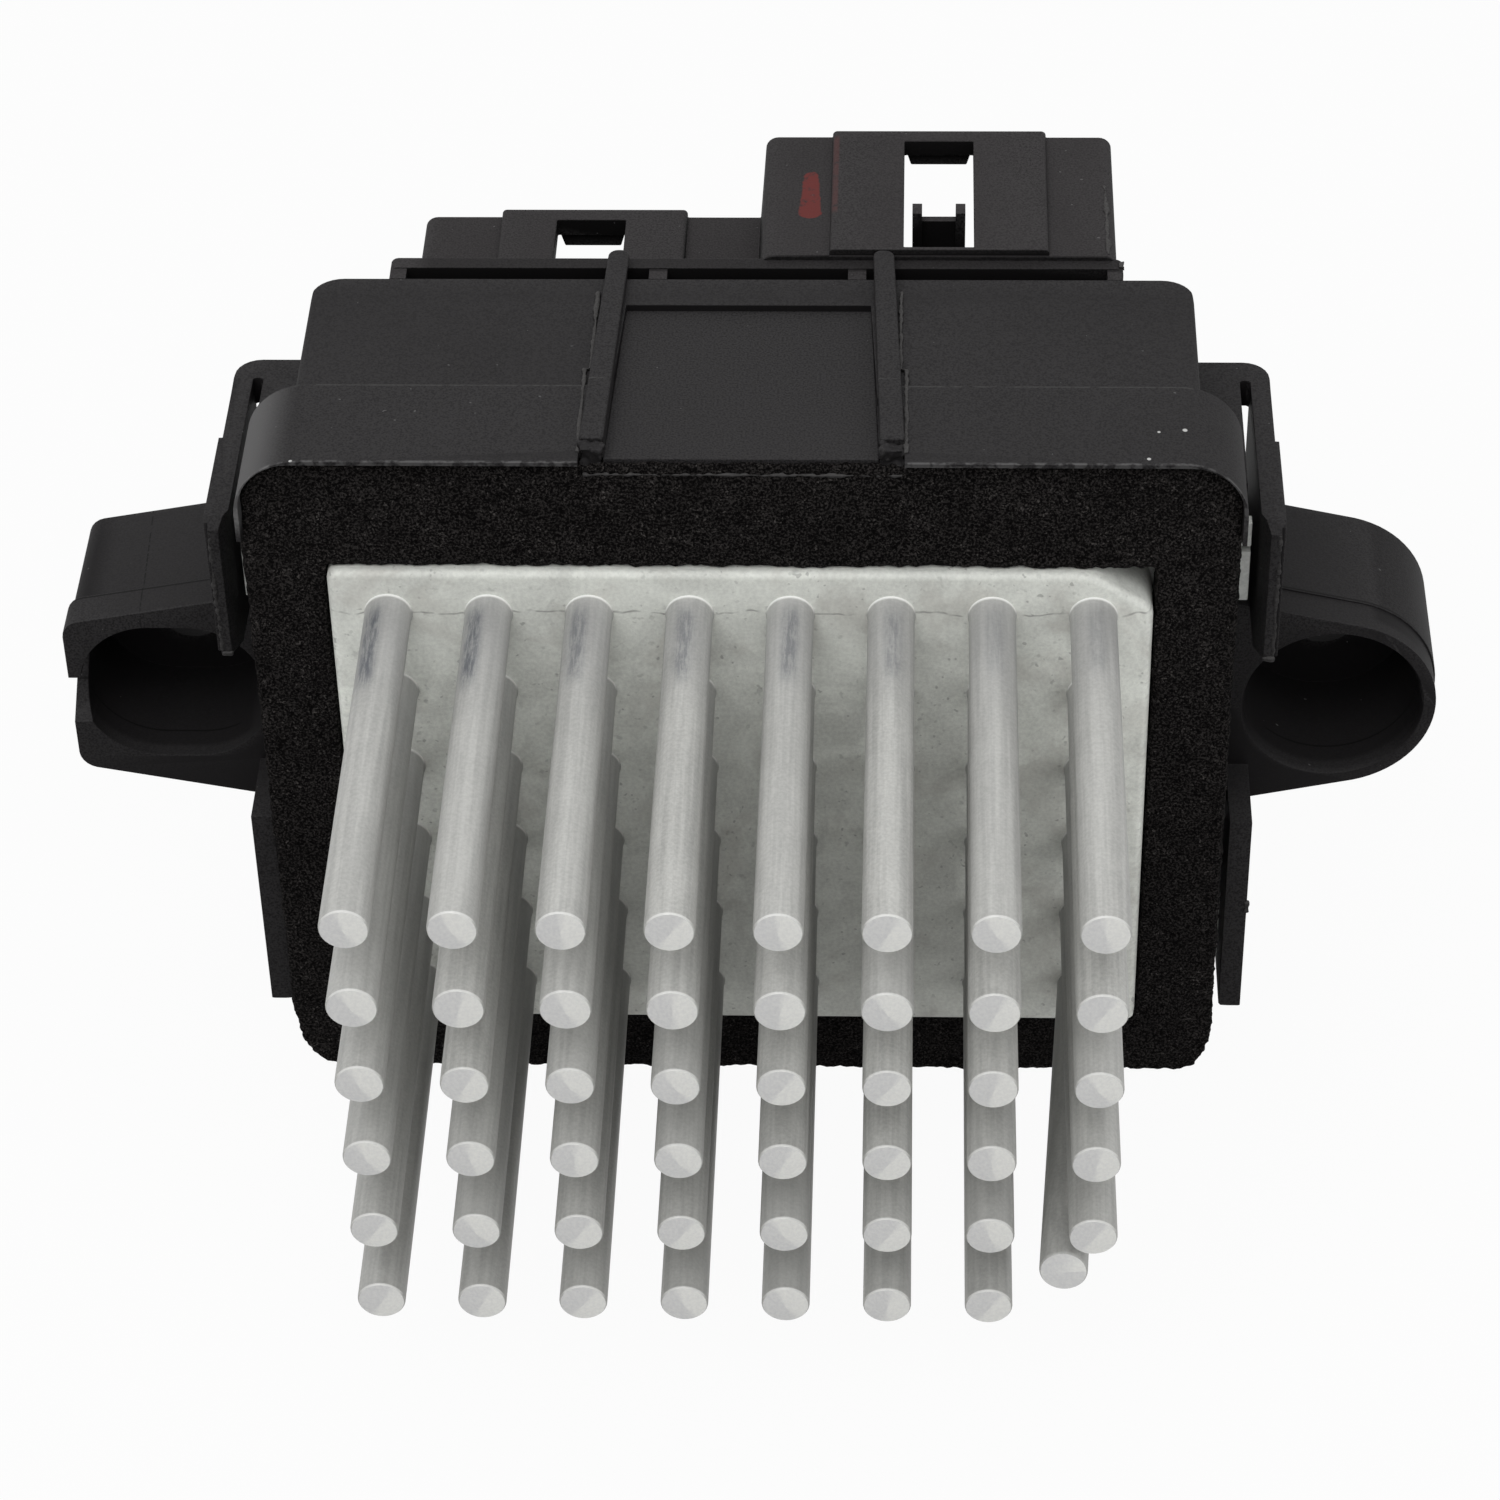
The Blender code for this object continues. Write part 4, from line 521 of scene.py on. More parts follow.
def pin_metal():
    """Pins: streaks along their length, blue-grey smears near the top row's roots, pale ends with
    painted lit and shaded halves, painted highlights at the roots and rims, painted shade on the lower
    rows.
    """
    finish = Finish("cast_aluminium_pins")
    streaks = finish.noise(0.9, 3.0, 0.6, place=finish.stretched(1.6, 0.05, 1.6))
    grain = finish.noise(0.26, 2.0, 0.6)
    clouds = finish.noise(5.0, 3.0, 0.6, twist=0.8)
    x = finish.axis("X")
    y = finish.axis("Y")
    z = finish.axis("Z")
    column = (x + FIELD_X) / PITCH + 0.5
    row = (z + FIELD_Z) / PITCH + 0.5
    across = column.apply("FRACT") - 0.5
    up = row.apply("FRACT") - 0.5
    whole_column = column.apply("FLOOR")
    whole_row = row.apply("FLOOR")
    own_place = finish.add("ShaderNodeCombineXYZ", None,
                           {0: whole_column * 2.3, 1: whole_row * 4.1, 2: 7.7})
    own = finish.noise(1 / MM, 0.0, 0.5, place=own_place).above(0.30, 0.70)
    # Painted light and shade on the pin ends: a lit half and a shaded half, split near the middle at a
    # slant that differs from pin to pin.
    side = (across + up * (own - 0.5) * 1.4) / ((across ** 2 + up ** 2) ** 0.5 + 0.02)
    painted_end_light = side.above(-0.20, 0.35)
    left_first = whole_column - 1.0
    centre = left_first.above(-0.5, 3.5) - 0.85
    fade = 1 - left_first.above(-0.2, 0.8) * 0.30 - left_first.above(3.0, 5.0) * 0.40
    smear = (across * PITCH - centre).within(0.0, 0.20, 0.80)
    smear = smear * y.between(-6.5 - fade * 2.0, -3.0, 3.0)
    hairs = finish.noise(0.26, 4.0, 0.75, place=finish.stretched(1.0, 0.12, 1.0)).above(0.36, 0.60)
    dull = smear * (0.35 + hairs * 0.65) * z.above(14.0, 17.0) * fade
    tone = streaks.above(0.35, 0.65) * 0.45 + grain.above(0.30, 0.70) * 0.35
    tone = tone + clouds.above(0.3, 0.7) * 0.20
    colour = finish.blend(tone, PIN_DARK, PIN_LIGHT)
    colour = finish.blend(own * 0.25, colour, (0.45, 0.45, 0.44, 1))
    colour = finish.blend(y.above(-14.0, -1.0) * 0.30, colour, (0.44, 0.44, 0.45, 1))
    colour = finish.blend(dull * 0.90, colour, PIN_SMEAR)
    # Painted shade: lower rows of pins darker, as less light reaches them.
    colour = finish.blend((1 - z.above(-20.0, 10.0)) * 0.35, colour, (0.30, 0.30, 0.29, 1))
    # Painted highlight: thin light arc on the upper side of each pin's root.
    painted_root_highlight = y.above(-0.28, -0.06) * finish.facing("Z").above(0.0, 0.4)
    colour = finish.blend(painted_root_highlight * 0.85, colour, (0.92, 0.92, 0.90, 1))
    end = (-1 * finish.facing("Y")).above(0.80, 0.96)
    # Ends: pale grey, mixed from the painted lit and shaded halves and the grain.
    ends = finish.blend(painted_end_light * 0.65 + grain.above(0.3, 0.7) * 0.35, PIN_END_SHADED, PIN_END_LIT)
    colour = finish.blend(end, colour, ends)
    # Painted highlight: light band on the upper side of each end's rolled rim.
    painted_rim_highlight = y.between(-PIN_LENGTH + 0.05, -PIN_LENGTH + 0.45, 0.06) * (1 - end)
    painted_rim_highlight = painted_rim_highlight * finish.facing("Z").above(0.2, 0.6)
    colour = finish.blend(painted_rim_highlight * 0.5, colour, (0.86, 0.86, 0.84, 1))
    height = streaks * 0.5 + grain * 0.5 + clouds * 0.3
    rough = 0.46 + clouds * 0.14 + end * 0.14
    return finish.set(Base_Color=colour, Roughness=rough, Metallic=METAL_SHARE,
                      Normal=finish.bump(height, 0.09, 0.4))


def flange_metal():
    """The flange and its lugs, a little darker than the pad."""
    finish, colour, rough, height = cast_metal(
        "cast_aluminium_flange", (0.35, 0.35, 0.34, 1), (0.46, 0.47, 0.45, 1), (0.66, 0.67, 0.64, 1))
    return finish.set(Base_Color=colour, Roughness=rough, Metallic=METAL_SHARE,
                      Normal=finish.bump(height, 0.12, 0.5))


def foam_finish():
    """Open-cell foam: near black cells, with painted highlights as pale glints on some cell walls."""
    finish = Finish("foam_open_cell")
    cells = finish.cells(0.42)
    small = finish.noise(0.19, 3.0, 0.7)
    broad = finish.noise(3.5, 2.0, 0.5)
    # Painted highlight: sparse pale glints on cell walls.
    painted_glint = finish.noise(0.24, 1.0, 0.5).above(0.62, 0.74)
    painted_glint = painted_glint * finish.noise(1.3, 1.0, 0.5).above(0.38, 0.60)
    colour = finish.blend(small.above(0.44, 0.64) * (0.4 + broad), FOAM_DARK, FOAM_PALE)
    colour = finish.blend(painted_glint * 0.45, colour, FOAM_PAINTED_GLINT)
    height = cells * 0.7 + small * 0.6
    return finish.set(Base_Color=colour, Roughness=0.95, Specular_IOR_Level=0.05,
                      Normal=finish.bump(height, 0.35, 0.9))


def charcoal(name, dark, painted_top_light):
    """Moulded black plastic: fine grain, faint flow clouds and a paler tone on what looks up, which is
    painted light.
    """
    finish = Finish(name)
    grain = finish.noise(0.17, 2.0, 0.65)
    broad = finish.noise(14.0, 3.0, 0.55, twist=0.6)
    flow = finish.noise(5.0, 2.0, 0.5, place=finish.stretched(1.0, 0.25, 0.6))
    speck = finish.noise(0.5, 1.0, 0.4).above(0.80, 0.82)
    tone = broad.above(0.3, 0.7) * 0.15 + flow.above(0.3, 0.7) * 0.15
    tone = tone + grain.above(0.30, 0.70) * 0.70
    across = finish.axis("X").apply("ABSOLUTE")
    # Painted shade: the ears' cups get less of the painted top light below.
    cups = across.above(39.0, 40.0) * finish.axis("Y").above(10.8, 11.6)
    cups = cups * finish.axis("Z").between(-6.0, 9.2, 0.4)
    upward = finish.facing("Z").above(0.10, 0.95) * (1 - cups * 0.65)
    # Painted light: what looks up is blended towards a paler tone that stands in for the light falling
    # on it.
    colour = finish.blend(upward * (0.45 + tone * 0.70), dark, painted_top_light)
    worn = finish.add("ShaderNodeNewGeometry", out="Pointiness").above(0.515, 0.56)
    colour = finish.blend(worn * grain.above(0.35, 0.6) * 0.35, colour, (0.055, 0.053, 0.054, 1))
    colour = finish.blend(speck * 0.25, colour, (0.30, 0.30, 0.30, 1))
    rough = 0.50 + flow * 0.14 + grain * 0.12
    return finish, colour, rough, finish.bump(grain * 0.6 + flow * 0.4, 0.05, 0.5)


def plastic(finish, colour, rough, normal):
    return finish.set(Base_Color=colour, Roughness=rough, Normal=normal,
                      Specular_IOR_Level=PLASTIC_SHINE)


def housing_finish():
    """The housing's plastic: painted highlights on the hood's lip, left corner and rear edge, painted
    shade at the ears' collar step, an ear's seam and a few white specks on the hood.
    """
    finish, colour, rough, normal = charcoal("housing_charcoal", HOUSING_DARK, HOUSING_PAINTED_TOP_LIGHT)
    upward = finish.facing("Z").above(0.10, 0.95)
    x = finish.axis("X")
    y = finish.axis("Y")
    across = x.apply("ABSOLUTE")
    lit = finish.facing("Z").above(0.3, 0.7) * finish.axis("Z").above(31.0, 32.0)
    for speck_x, speck_y, size in SPECKS:
        away = ((x - speck_x) ** 2 + (y - speck_y) ** 2) ** 0.5
        colour = finish.blend((1 - away.above(size * 0.6, size)) * lit, colour, (0.55, 0.55, 0.54, 1))
    hood = finish.axis("Z").above(26.0, 27.5) * (1 - y.above(8.9, 9.1))
    # Painted highlight: a pale, broken band along the hood's lip and a broad pale patch on its left
    # corner, stronger on faces that look up.
    lip = (1 - y.above(-0.40, -0.15)) * finish.noise(0.8, 2.0, 0.6).above(0.40, 0.60) * 0.6
    painted_highlight = lip + (1 - x.above(-36.6, -32.4)) * 0.85
    colour = finish.blend(hood * painted_highlight * (0.5 + upward * 0.5), colour, HOUSING_PAINTED_HIGHLIGHT)
    # Painted highlight: broken light line along the top of the hood's rear edge.
    rear = y.within(8.97, 0.05, 0.05) * finish.axis("Z").above(33.0, 33.1)
    rear = rear * finish.noise(0.7, 2.0, 0.5).above(0.3, 0.6)
    colour = finish.blend(rear * 0.45, colour, (0.085, 0.084, 0.083, 1))
    seam = (x + y * 0.05).within(EAR_SEAM_X, 0.03, 0.06) * finish.noise(0.5, 1.0, 0.5).above(0.38, 0.55)
    colour = finish.blend(seam * finish.axis("Z").above(4.0, 5.0) * 0.6, colour, grey(0.004))
    # Painted shade: dark line at the step where the ears meet their collars.
    collar = y.within(13.0, 0.05, 0.08) * across.above(40.5, 41.0)
    colour = finish.blend(collar * 0.7, colour, grey(0.003))
    return plastic(finish, colour, rough, normal)


def flash_finish():
    """Thin flash on the moulding's edges, paler than the moulding itself."""
    return plastic(*charcoal("housing_flash", FLASH_DARK, FLASH_PAINTED_TOP_LIGHT))


def cover_finish():
    """The cover's plastic, with the red paint dab and line on the power socket's roof, and painted shade
    on the rail's top.
    """
    finish, colour, rough, normal = charcoal("cover_charcoal", COVER_DARK, COVER_PAINTED_TOP_LIGHT)
    x = finish.axis("X")
    y = finish.axis("Y")
    top = finish.axis("Z").above(32.6, 33.0)
    run = finish.add("ShaderNodeMapRange", None, {"Value": y, "From Min": 31.6, "From Max": 36.6})
    away = ((x - 4.7) ** 2 + (y - 31.6 - run * 5.0) ** 2) ** 0.5
    dab = 1 - (away + run * 0.33 + finish.noise(0.5, 2.0, 0.5) * 0.3).above(0.95, 1.10)
    line = x.within(6.62, 0.12, 0.20) * y.between(31.3, 40.9, 0.8)
    # Painted shade: most of the rail's top is pulled back to the dark base, as it lies in shade.
    rail = y.between(24.3, 25.7, 0.1) * finish.axis("Z").above(32.0, 32.5)
    colour = finish.blend(rail * x.above(-26.0, -24.0) * 0.5, colour, COVER_DARK)
    worn = finish.noise(0.6, 2.0, 0.6).above(0.20, 0.50)
    colour = finish.blend(dab * worn * top * 0.85, colour, PAINT_DAB)
    colour = finish.blend(line * worn * top * 0.50, colour, PAINT_LINE)
    return plastic(finish, colour, rough, normal)


def plain_metal(name, base, rough, streak=(1.0, 1.0, 1.0)):
    """Plated or bare sheet metal, brushed along what the streak stretches."""
    finish = Finish(name)
    brushed = finish.noise(0.4, 3.0, 0.6, place=finish.stretched(*streak))
    stain = finish.noise(2.5, 3.0, 0.6)
    dark = tuple(c * 0.72 for c in base[:3]) + (1.0,)
    colour = finish.blend(brushed * 0.5 + stain.above(0.4, 0.7) * 0.5, dark, base)
    return finish.set(Base_Color=colour, Roughness=rough + stain * 0.18, Metallic=0.95,
                      Normal=finish.bump(brushed, 0.03, 0.4))


def plain_moulding(name, base, rough, size=0.4):
    """Moulded case, coat or board with a fine grain."""
    finish = Finish(name)
    grain = finish.noise(size, 2.0, 0.6)
    cloud = finish.noise(3.0, 2.0, 0.5)
    light = tuple(min(1.0, c * 1.45 + 0.004) for c in base[:3]) + (1.0,)
    colour = finish.blend(grain * 0.4 + cloud * 0.6, base, light)
    return finish.set(Base_Color=colour, Roughness=rough + grain * 0.15,
                      Normal=finish.bump(grain, 0.04, 0.4))


# Heat sink

def pin_at(x, z):
    """One pin: round bar with a rolled rim, a shallow cone on its end and a small fillet at its root."""
    centre = Vector((x, 0, z)) * MM
    pin = bar("pin", x, z, PIN_RADIUS, -PIN_LENGTH + 0.56, -0.30, PIN_SIDES)
    pick(pin, "FACE", lambda face: face.normal.y < -0.9)
    for run, size in ((0.12, 0.985), (0.10, 0.955)):
        bpy.ops.mesh.extrude_region_move(TRANSFORM_OT_translate={"value": (0, -run * MM, 0)})
        bpy.ops.transform.resize(value=(size, 1.0, size), center_override=centre)
    bpy.ops.mesh.inset(thickness=0.13 * MM, depth=0.0)
    bpy.ops.mesh.poke(offset=0.24 * MM)
    done()
    pick(pin, "FACE", lambda face: face.normal.y > 0.9)
    for run, size in ((0.20, 1.02), (0.20, 1.05)):
        bpy.ops.mesh.extrude_region_move(TRANSFORM_OT_translate={"value": (0, run * MM, 0)})
        bpy.ops.transform.resize(value=(size, 1.0, size), center_override=centre)
    done()
    only(pin)
    bpy.ops.object.shade_smooth_by_angle(angle=radians(32))
    return pin


def pin_field():
    """One modelled pin and its copies. Ends are spread a little, and the lower right pin is bent."""
    first = pin_at(-FIELD_X, FIELD_Z)
    home = Vector((-FIELD_X, 0, FIELD_Z)) * MM
    copies = []
    for row in range(ROWS):
        for column in range(COLUMNS):
            copy = first.copy()
            copy.data = first.data.copy()
            bpy.context.scene.collection.objects.link(copy)
            number = row * COLUMNS + column
            spread = 1.02 + 0.02 * noise.noise(Vector((number * 1.7, 0.3, 0.8)))
            if row == 1:
                spread = 1.065
            for vert in copy.data.vertices:
                share = min(1.0, max(0.0, (-vert.co.y / MM - 8.0) / 24.0))
                scale = 1 + (spread - 1) * share
                vert.co.x = home.x + (vert.co.x - home.x) * scale
                vert.co.z = home.z + (vert.co.z - home.z) * scale
            spin = Matrix.Rotation(radians(37 * number), 4, "Y")
            place = Vector((column * PITCH - FIELD_X, 0, FIELD_Z - row * PITCH)) * MM
            lean = Matrix.Identity(4)
            if (row, column) == (ROWS - 1, COLUMNS - 1):
                lean = Vector((0, -1, 0)).rotation_difference(Vector(BENT_PIN)).to_matrix().to_4x4()
            copy.data.transform(Matrix.Translation(place) @ lean @ spin @ Matrix.Translation(-home))
            copies.append(copy)
    bpy.data.objects.remove(first, do_unlink=True)
    return join("heat_sink_pins", copies)


def pad():
    """Raised pad: rolled top and side edges, a sharp lower edge, one upper corner cut off."""
    plate = cuboid("heat_sink_pad", (-30.7, 0.0, -22.7), (30.7, 5.4, 22.6))
    slice_off(plate, (26.1, 0.0, 22.6), Vector((3.1, 0.0, 4.6)).normalized())
    round_edges(plate, along(1), 0.9, 5)
    round_edges(plate, lambda edge: middle_of(edge).y < 0.01 and middle_of(edge).z > -22.0, 0.6, 5)
    round_edges(plate, lambda edge: middle_of(edge).y < 0.3 and middle_of(edge).z < -22.6, 0.15, 2)
    only(plate)
    bpy.ops.object.shade_smooth_by_angle(angle=radians(40))
    return plate


def flange():
    """Plate behind the foam with its four lugs and the bosses on its back."""
    plate = cuboid("heat_sink_flange", (-36.5, FLANGE_FRONT, -28.8), (36.9, FLANGE_BACK, SHOULDER))
    round_edges(plate, along(1, lambda m: m.z < -28), 1.2, 4)
    upper = cuboid("upper", (-35.3, FLANGE_FRONT, SHOULDER - 3), (35.7, FLANGE_BACK, 31.7))
    round_edges(upper, along(1, lambda m: m.z > 31), SEAL_CORNER, 8)
    fuse(plate, upper)
    upper_lugs = cuboid("lug", (-37.75, 5.2, 16.15), (38.05, 6.2, 23.5))
    for side in (-1, 1):
        x = BODY_X + side * 37.9
        carve(upper_lugs, cuboid("nick", (x - 0.9, 5.0, 20.8), (x + 0.9, 6.4, 21.3)))
    fuse(plate, upper_lugs)
    fuse(plate, cuboid("lug", (-36.9, 5.2, -20.4), (37.4, 7.1, -14.2)))
    for x, z in BOSS_PLACES:
        fuse(plate, bar("boss", x, z, BOSS_RADIUS, 6.5, 13.7, 32))
        carve(plate, bar("boss_hole", x, z, BOSS_HOLE_RADIUS, 8.1, 15.0, 24))
    fuse(plate, bar("clamp_boss", BOX_X, CLAMP_Z, BOSS_RADIUS, 6.5, 12.8, 32))
    carve(plate, bar("clamp_boss_hole", BOX_X, CLAMP_Z, BOSS_HOLE_RADIUS, 7.8, 13.8, 24))
    return soften(plate, 0.18)


# Foam seal

def foam():
    """Foam frame that hugs the pad: cut corners, then fine cells that stand in and out."""
    seal = cuboid("foam_seal", (-36.85, FOAM_FRONT, -29.05), (36.95, FOAM_BACK, SHOULDER))
    left = ((-36.9, -22.4), (-36.3, -26.5), (-35.1, -28.6), (-34.3, -29.1))
    right = ((37.3, -23.3), (36.5, -26.9), (35.5, -28.6), (34.2, -29.1))
    for side, corner in ((-1, left), (1, right)):
        for (x, z), (next_x, next_z) in zip(corner, corner[1:]):
            outward = Vector((side * (z - next_z), 0.0, -abs(next_x - x))).normalized()
            slice_off(seal, (x, 1.0, z), outward)
    upper = cuboid("upper", (-36.6, FOAM_FRONT, SHOULDER - 1), (36.9, FOAM_BACK, 32.15))
    round_edges(upper, along(1, lambda m: m.z > 31), SEAL_CORNER, 8)
    fuse(seal, upper)
    carve(seal, cuboid("window", (-30.85, -1.0, -22.8), (30.85, 6.0, 22.7)))
    return roughen(seal, 0.27, ((0.48, 0.15), (0.9, 0.12), (1.9, 0.10)))


# Front housing

def sunk_field(front, back, floor=SUNK_FLOOR):
    """Cutter for the sunk field between the ribs."""
    return cuboid("sunk", (SUNK_LEFT, front, floor), (SUNK_RIGHT, back, ABOVE_ALL))


def hood():
    """Band over the seal's top and upper corners, open below, with a thin lip notched in the middle."""
    band = cuboid("housing_hood", (-36.95, HOOD_FRONT, 25.8), (37.25, SEAT_BACK, HOOD_TOP))
    round_edges(band, along(1, lambda m: m.z > 33), 5.0, 12)
    inside = cuboid("inside", (-35.9, -2.0, 20.0), (36.3, 12.0, 32.0))
    round_edges(inside, along(1, lambda m: m.z > 31), SEAL_CORNER, 10)
    carve(band, inside)
    flare = cuboid("flare", (-36.55, -1.2, 20.0), (36.85, 1.8, 32.4))
    round_edges(flare, along(1, lambda m: m.z > 31), 4.0, 10)
    pick(flare, "FACE", lambda face: face.normal.y < -0.9)
    bpy.ops.transform.resize(value=(1.002, 1.0, 1.050),
                             center_override=Vector((BODY_X, -1.2, 20.0)) * MM)
    done()
    carve(band, flare)
    carve(band, cuboid("lip", (-11.5, -2.0, 31.0), (12.2, 1.0, ABOVE_ALL)))
    carve(band, sunk_field(-2.0, 12.0))
    return soften(band, 0.16)


def sunk_panel():
    """Floor of the sunk field between the ribs, in one run over hood and box."""
    panel = cuboid("housing_panel", (-9.75, 1.0, 31.6), (10.35, 19.6, 32.47))
    return soften(draw_in(panel, 15, SUNK_TAPER), 0.08)


def seat():
    """Ring behind the flange."""
    ring = cuboid("housing_seat", (-36.6, SEAT_FRONT, BOTTOM), (37.0, SEAT_BACK - 0.1, 33.0))
    round_edges(ring, along(1, lambda m: m.z > 32), 5.0, 10)
    round_edges(ring, along(1, lambda m: m.z < -29), 1.0, 4)
    carve(ring, cuboid("hole", (-31.15, 5.0, ROOM_BOTTOM), (32.05, 12.0, ROOM_TOP)))
    carve(ring, sunk_field(5.0, 12.0, 32.2))
    return soften(ring, 0.2)


def box():
    """Box with its room, its rear opening and the sunk field between the ribs."""
    half = 33.5
    room = 31.6
    opening = 26.75
    shell = cuboid("housing_box", (BOX_X - half, 7.7, BOTTOM), (BOX_X + half, BOX_BACK, BOX_TOP))
    round_edges(shell, along(2, lambda m: m.y > 20), 2.4, 8)
    round_edges(shell, along(1, lambda m: m.z > 33), 0.5, 4)
    carve(shell, cuboid("room", (BOX_X - room, 5.0, ROOM_BOTTOM), (BOX_X + room, 21.0, ROOM_TOP)))
    carve(shell, cuboid("opening", (COVER_X - opening, 19.0, -22.75), (COVER_X + opening, 25.0, 30.85)))
    carve(shell, draw_in(sunk_field(5.0, SUNK_BACK), 15, SUNK_TAPER))
    round_edges(shell, along(0, lambda m: abs(m.y - SUNK_BACK) < 0.1 and m.z > 32.9), 0.3, 1)
    return soften(shell, 0.12)


def rib(name, side):
    """Raised rib that leans inwards to the back, rounded at its rear end, over the cover's rail."""
    middle = RIB_X + side * RIB_SPREAD
    rear = middle - side * RIB_TAPER
    body = cuboid(name, (middle - 0.9, 1.6, 32.0), (middle + 0.9, 25.6, 33.95))
    slide(body, lambda vert: vert.co.y > 20 * MM, x=-side * RIB_TAPER)
    slide(body, lambda vert: vert.co.y > 20 * MM and vert.co.x < rear * MM, x=0.1)
    slide(body, lambda vert: vert.co.y > 20 * MM and vert.co.x > rear * MM, x=-0.1)
    carve(body, cuboid("undercut", (middle - 3, BOX_BACK, 30.0), (middle + 3, 27.0, 33.35)))
    round_edges(body, along(2, lambda m: m.y > 25), 0.7, 5)
    return soften(body, 0.2, 3)


def rib_front(name, side):
    """Torn front end of a rib."""
    middle = RIB_X + side * RIB_SPREAD
    stub = cuboid(name, (middle - 0.8, 0.7, 32.1), (middle + 0.8, 2.4, 33.5))
    return roughen(stub, 0.12, ((0.4, 0.20), (1.1, 0.25)), side * 4.0)


def side_arms(name, side):
    """Upper and lower arm plates on one side, each tied to the box by a slotted web."""

    def plate(label, near, far, front, back, low, high):
        left, right = sorted((BODY_X + side * near, BODY_X + side * far))
        return cuboid(label, (left, front, low), (right, back, high))

    arm = plate(name, ARM_NEAR, ARM_FAR, ARM_FRONT, 21.3, UPPER_ARM_BOTTOM, ARM_TOP)
    slice_off(arm, (BODY_X + side * ARM_NEAR, 4.6, 0.0), Vector((-side * 1.6, -0.7, 0.0)).normalized())
    fuse(arm, plate("stiffener", 39.2, 40.2, 3.4, 13.5, UPPER_ARM_BOTTOM, ARM_TOP))
    slice_off(arm, (0.0, ARM_FRONT, ARM_TOP - 0.8), Vector((0.0, -1.0, 1.0)).normalized())
    fuse(arm, plate("behind_the_ear", ARM_NEAR, ARM_FAR, 10.8, 21.3, -5.1, 12.4))
    lower = plate("lower_arm", LOWER_NEAR, LOWER_FAR, ARM_FRONT, 21.4, ARM_BOTTOM, -4.3)
    inner_edge = (BODY_X + side * LOWER_NEAR, 0.0, ARM_BOTTOM + 1.2)
    slice_off(lower, inner_edge, Vector((-side * 1.2, 0.0, -0.8)).normalized())
    slice_off(lower, (0.0, ARM_FRONT, ARM_BOTTOM + 1.0), Vector((0.0, -1.0, -1.0)).normalized())
    fuse(arm, lower)
    webs = ((ARM_NEAR, ARM_FAR, 22.5, ARM_TOP), (LOWER_NEAR, LOWER_FAR, -23.6, -21.2))
    for near, far, low, high in webs:
        root = BOX_X + side * 32.7 - BODY_X
        web = plate("web", side * root, near - 0.8, 8.3, ARM_BACK, low, high)
        tip = plate("tip", near - 1.4, far, 20.3, ARM_BACK, low, high)
        round_edges(tip, along(2, lambda m: m.y > 23 and abs(m.x) > 38.5), 2.0, 6)
        fuse(web, tip)
        slot = plate("slot", near - 0.8, near, ARM_FRONT, 21.2, low - 1, high + 1)
        round_edges(slot, along(2, lambda m: m.y > 21), 0.3, 5)
        carve(web, slot)
        fuse(arm, web)
    return arm


def ear_body(name, x, radius, front, back, root_half):
    """Round end drawn out to its root on the box."""
    body = bar(name, x, EAR_Z, radius, front, back, 72)
    root = cuboid("root", (33.15, front, EAR_Z - root_half), (33.9, back, EAR_Z + root_half))
    body = join(name, [body, root])
    pick(body, "VERT", lambda vert: True)
    bpy.ops.mesh.convex_hull()
    done()
    return body


def right_side():
    """Right arms and the round-ended ear; its bevelled cup is sunk into both and has a screw hole."""
    x = BODY_X + EAR_X
    piece = ear_body("housing_side_right", x, 8.2, EAR_FRONT, ARM_BACK, 11.1)
    fuse(piece, ear_body("collar", x, 8.05, COLLAR_FRONT, COLLAR_BACK, 10.9))
    fuse(piece, side_arms("arms", 1))
    cup = bar("cup", x, EAR_Z, 6.85, 10.6, ARM_BACK - EAR_FLOOR, 72)
    pick(cup, "FACE", lambda face: face.normal.y < -0.9)
    bpy.ops.mesh.extrude_region_move(TRANSFORM_OT_translate={"value": (0, -1.4 * MM, 0)})
    bpy.ops.transform.resize(value=(1.085, 1.0, 1.085),
                             center_override=Vector((x, 9.2, EAR_Z)) * MM)
    done()
    carve(piece, cup)
    carve(piece, bar("screw_hole", x, EAR_Z, EAR_HOLE_RADIUS, 18.0, 26.0, 40))
    return soften(piece, EAR_SOFTNESS, clamp=False)


def left_side():
    """Left arms and the squarer ear; its cup is sunk into both and open through a notch outside."""
    x = BODY_X - EAR_X

    def trapezoid(name, step, front, back):
        body = cuboid(name, (-53.4 + step, front, EAR_Z - 11.3 + step),
                      (-32.25, back, EAR_Z + 11.4 - step))
        slide(body, lambda vert: vert.co.x < -50 * MM and vert.co.z > 0, z=-4.0)
        slide(body, lambda vert: vert.co.x < -50 * MM and vert.co.z < 0, z=4.3)
        return round_edges(body, along(1, lambda m: m.x < -50), 1.3, 5)

    piece = trapezoid("housing_side_left", 0.3, EAR_FRONT, ARM_BACK)
    fuse(piece, trapezoid("collar", 0.0, COLLAR_FRONT, COLLAR_BACK))
    fuse(piece, side_arms("arms", -1))
    cup = cuboid("cup", (x - 7.3, 8.0, EAR_Z - 5.9), (x + 7.3, ARM_BACK - EAR_FLOOR, EAR_Z + 7.1))
    round_edges(cup, along(1), 5.9, 14)
    carve(piece, cup)
    notch = cuboid("notch", (-55.0, 8.0, EAR_Z - 4.0), (x - 4.4, 16.6, EAR_Z + 2.0))
    slide(notch, lambda vert: vert.co.y > 12 * MM and vert.co.z < 0, y=-6.6, z=1.5)
    carve(piece, notch)
    carve(piece, bar("screw_hole", x, EAR_Z, EAR_HOLE_RADIUS, 18.0, 26.0, 40))
    return soften(piece, EAR_SOFTNESS, clamp=False)


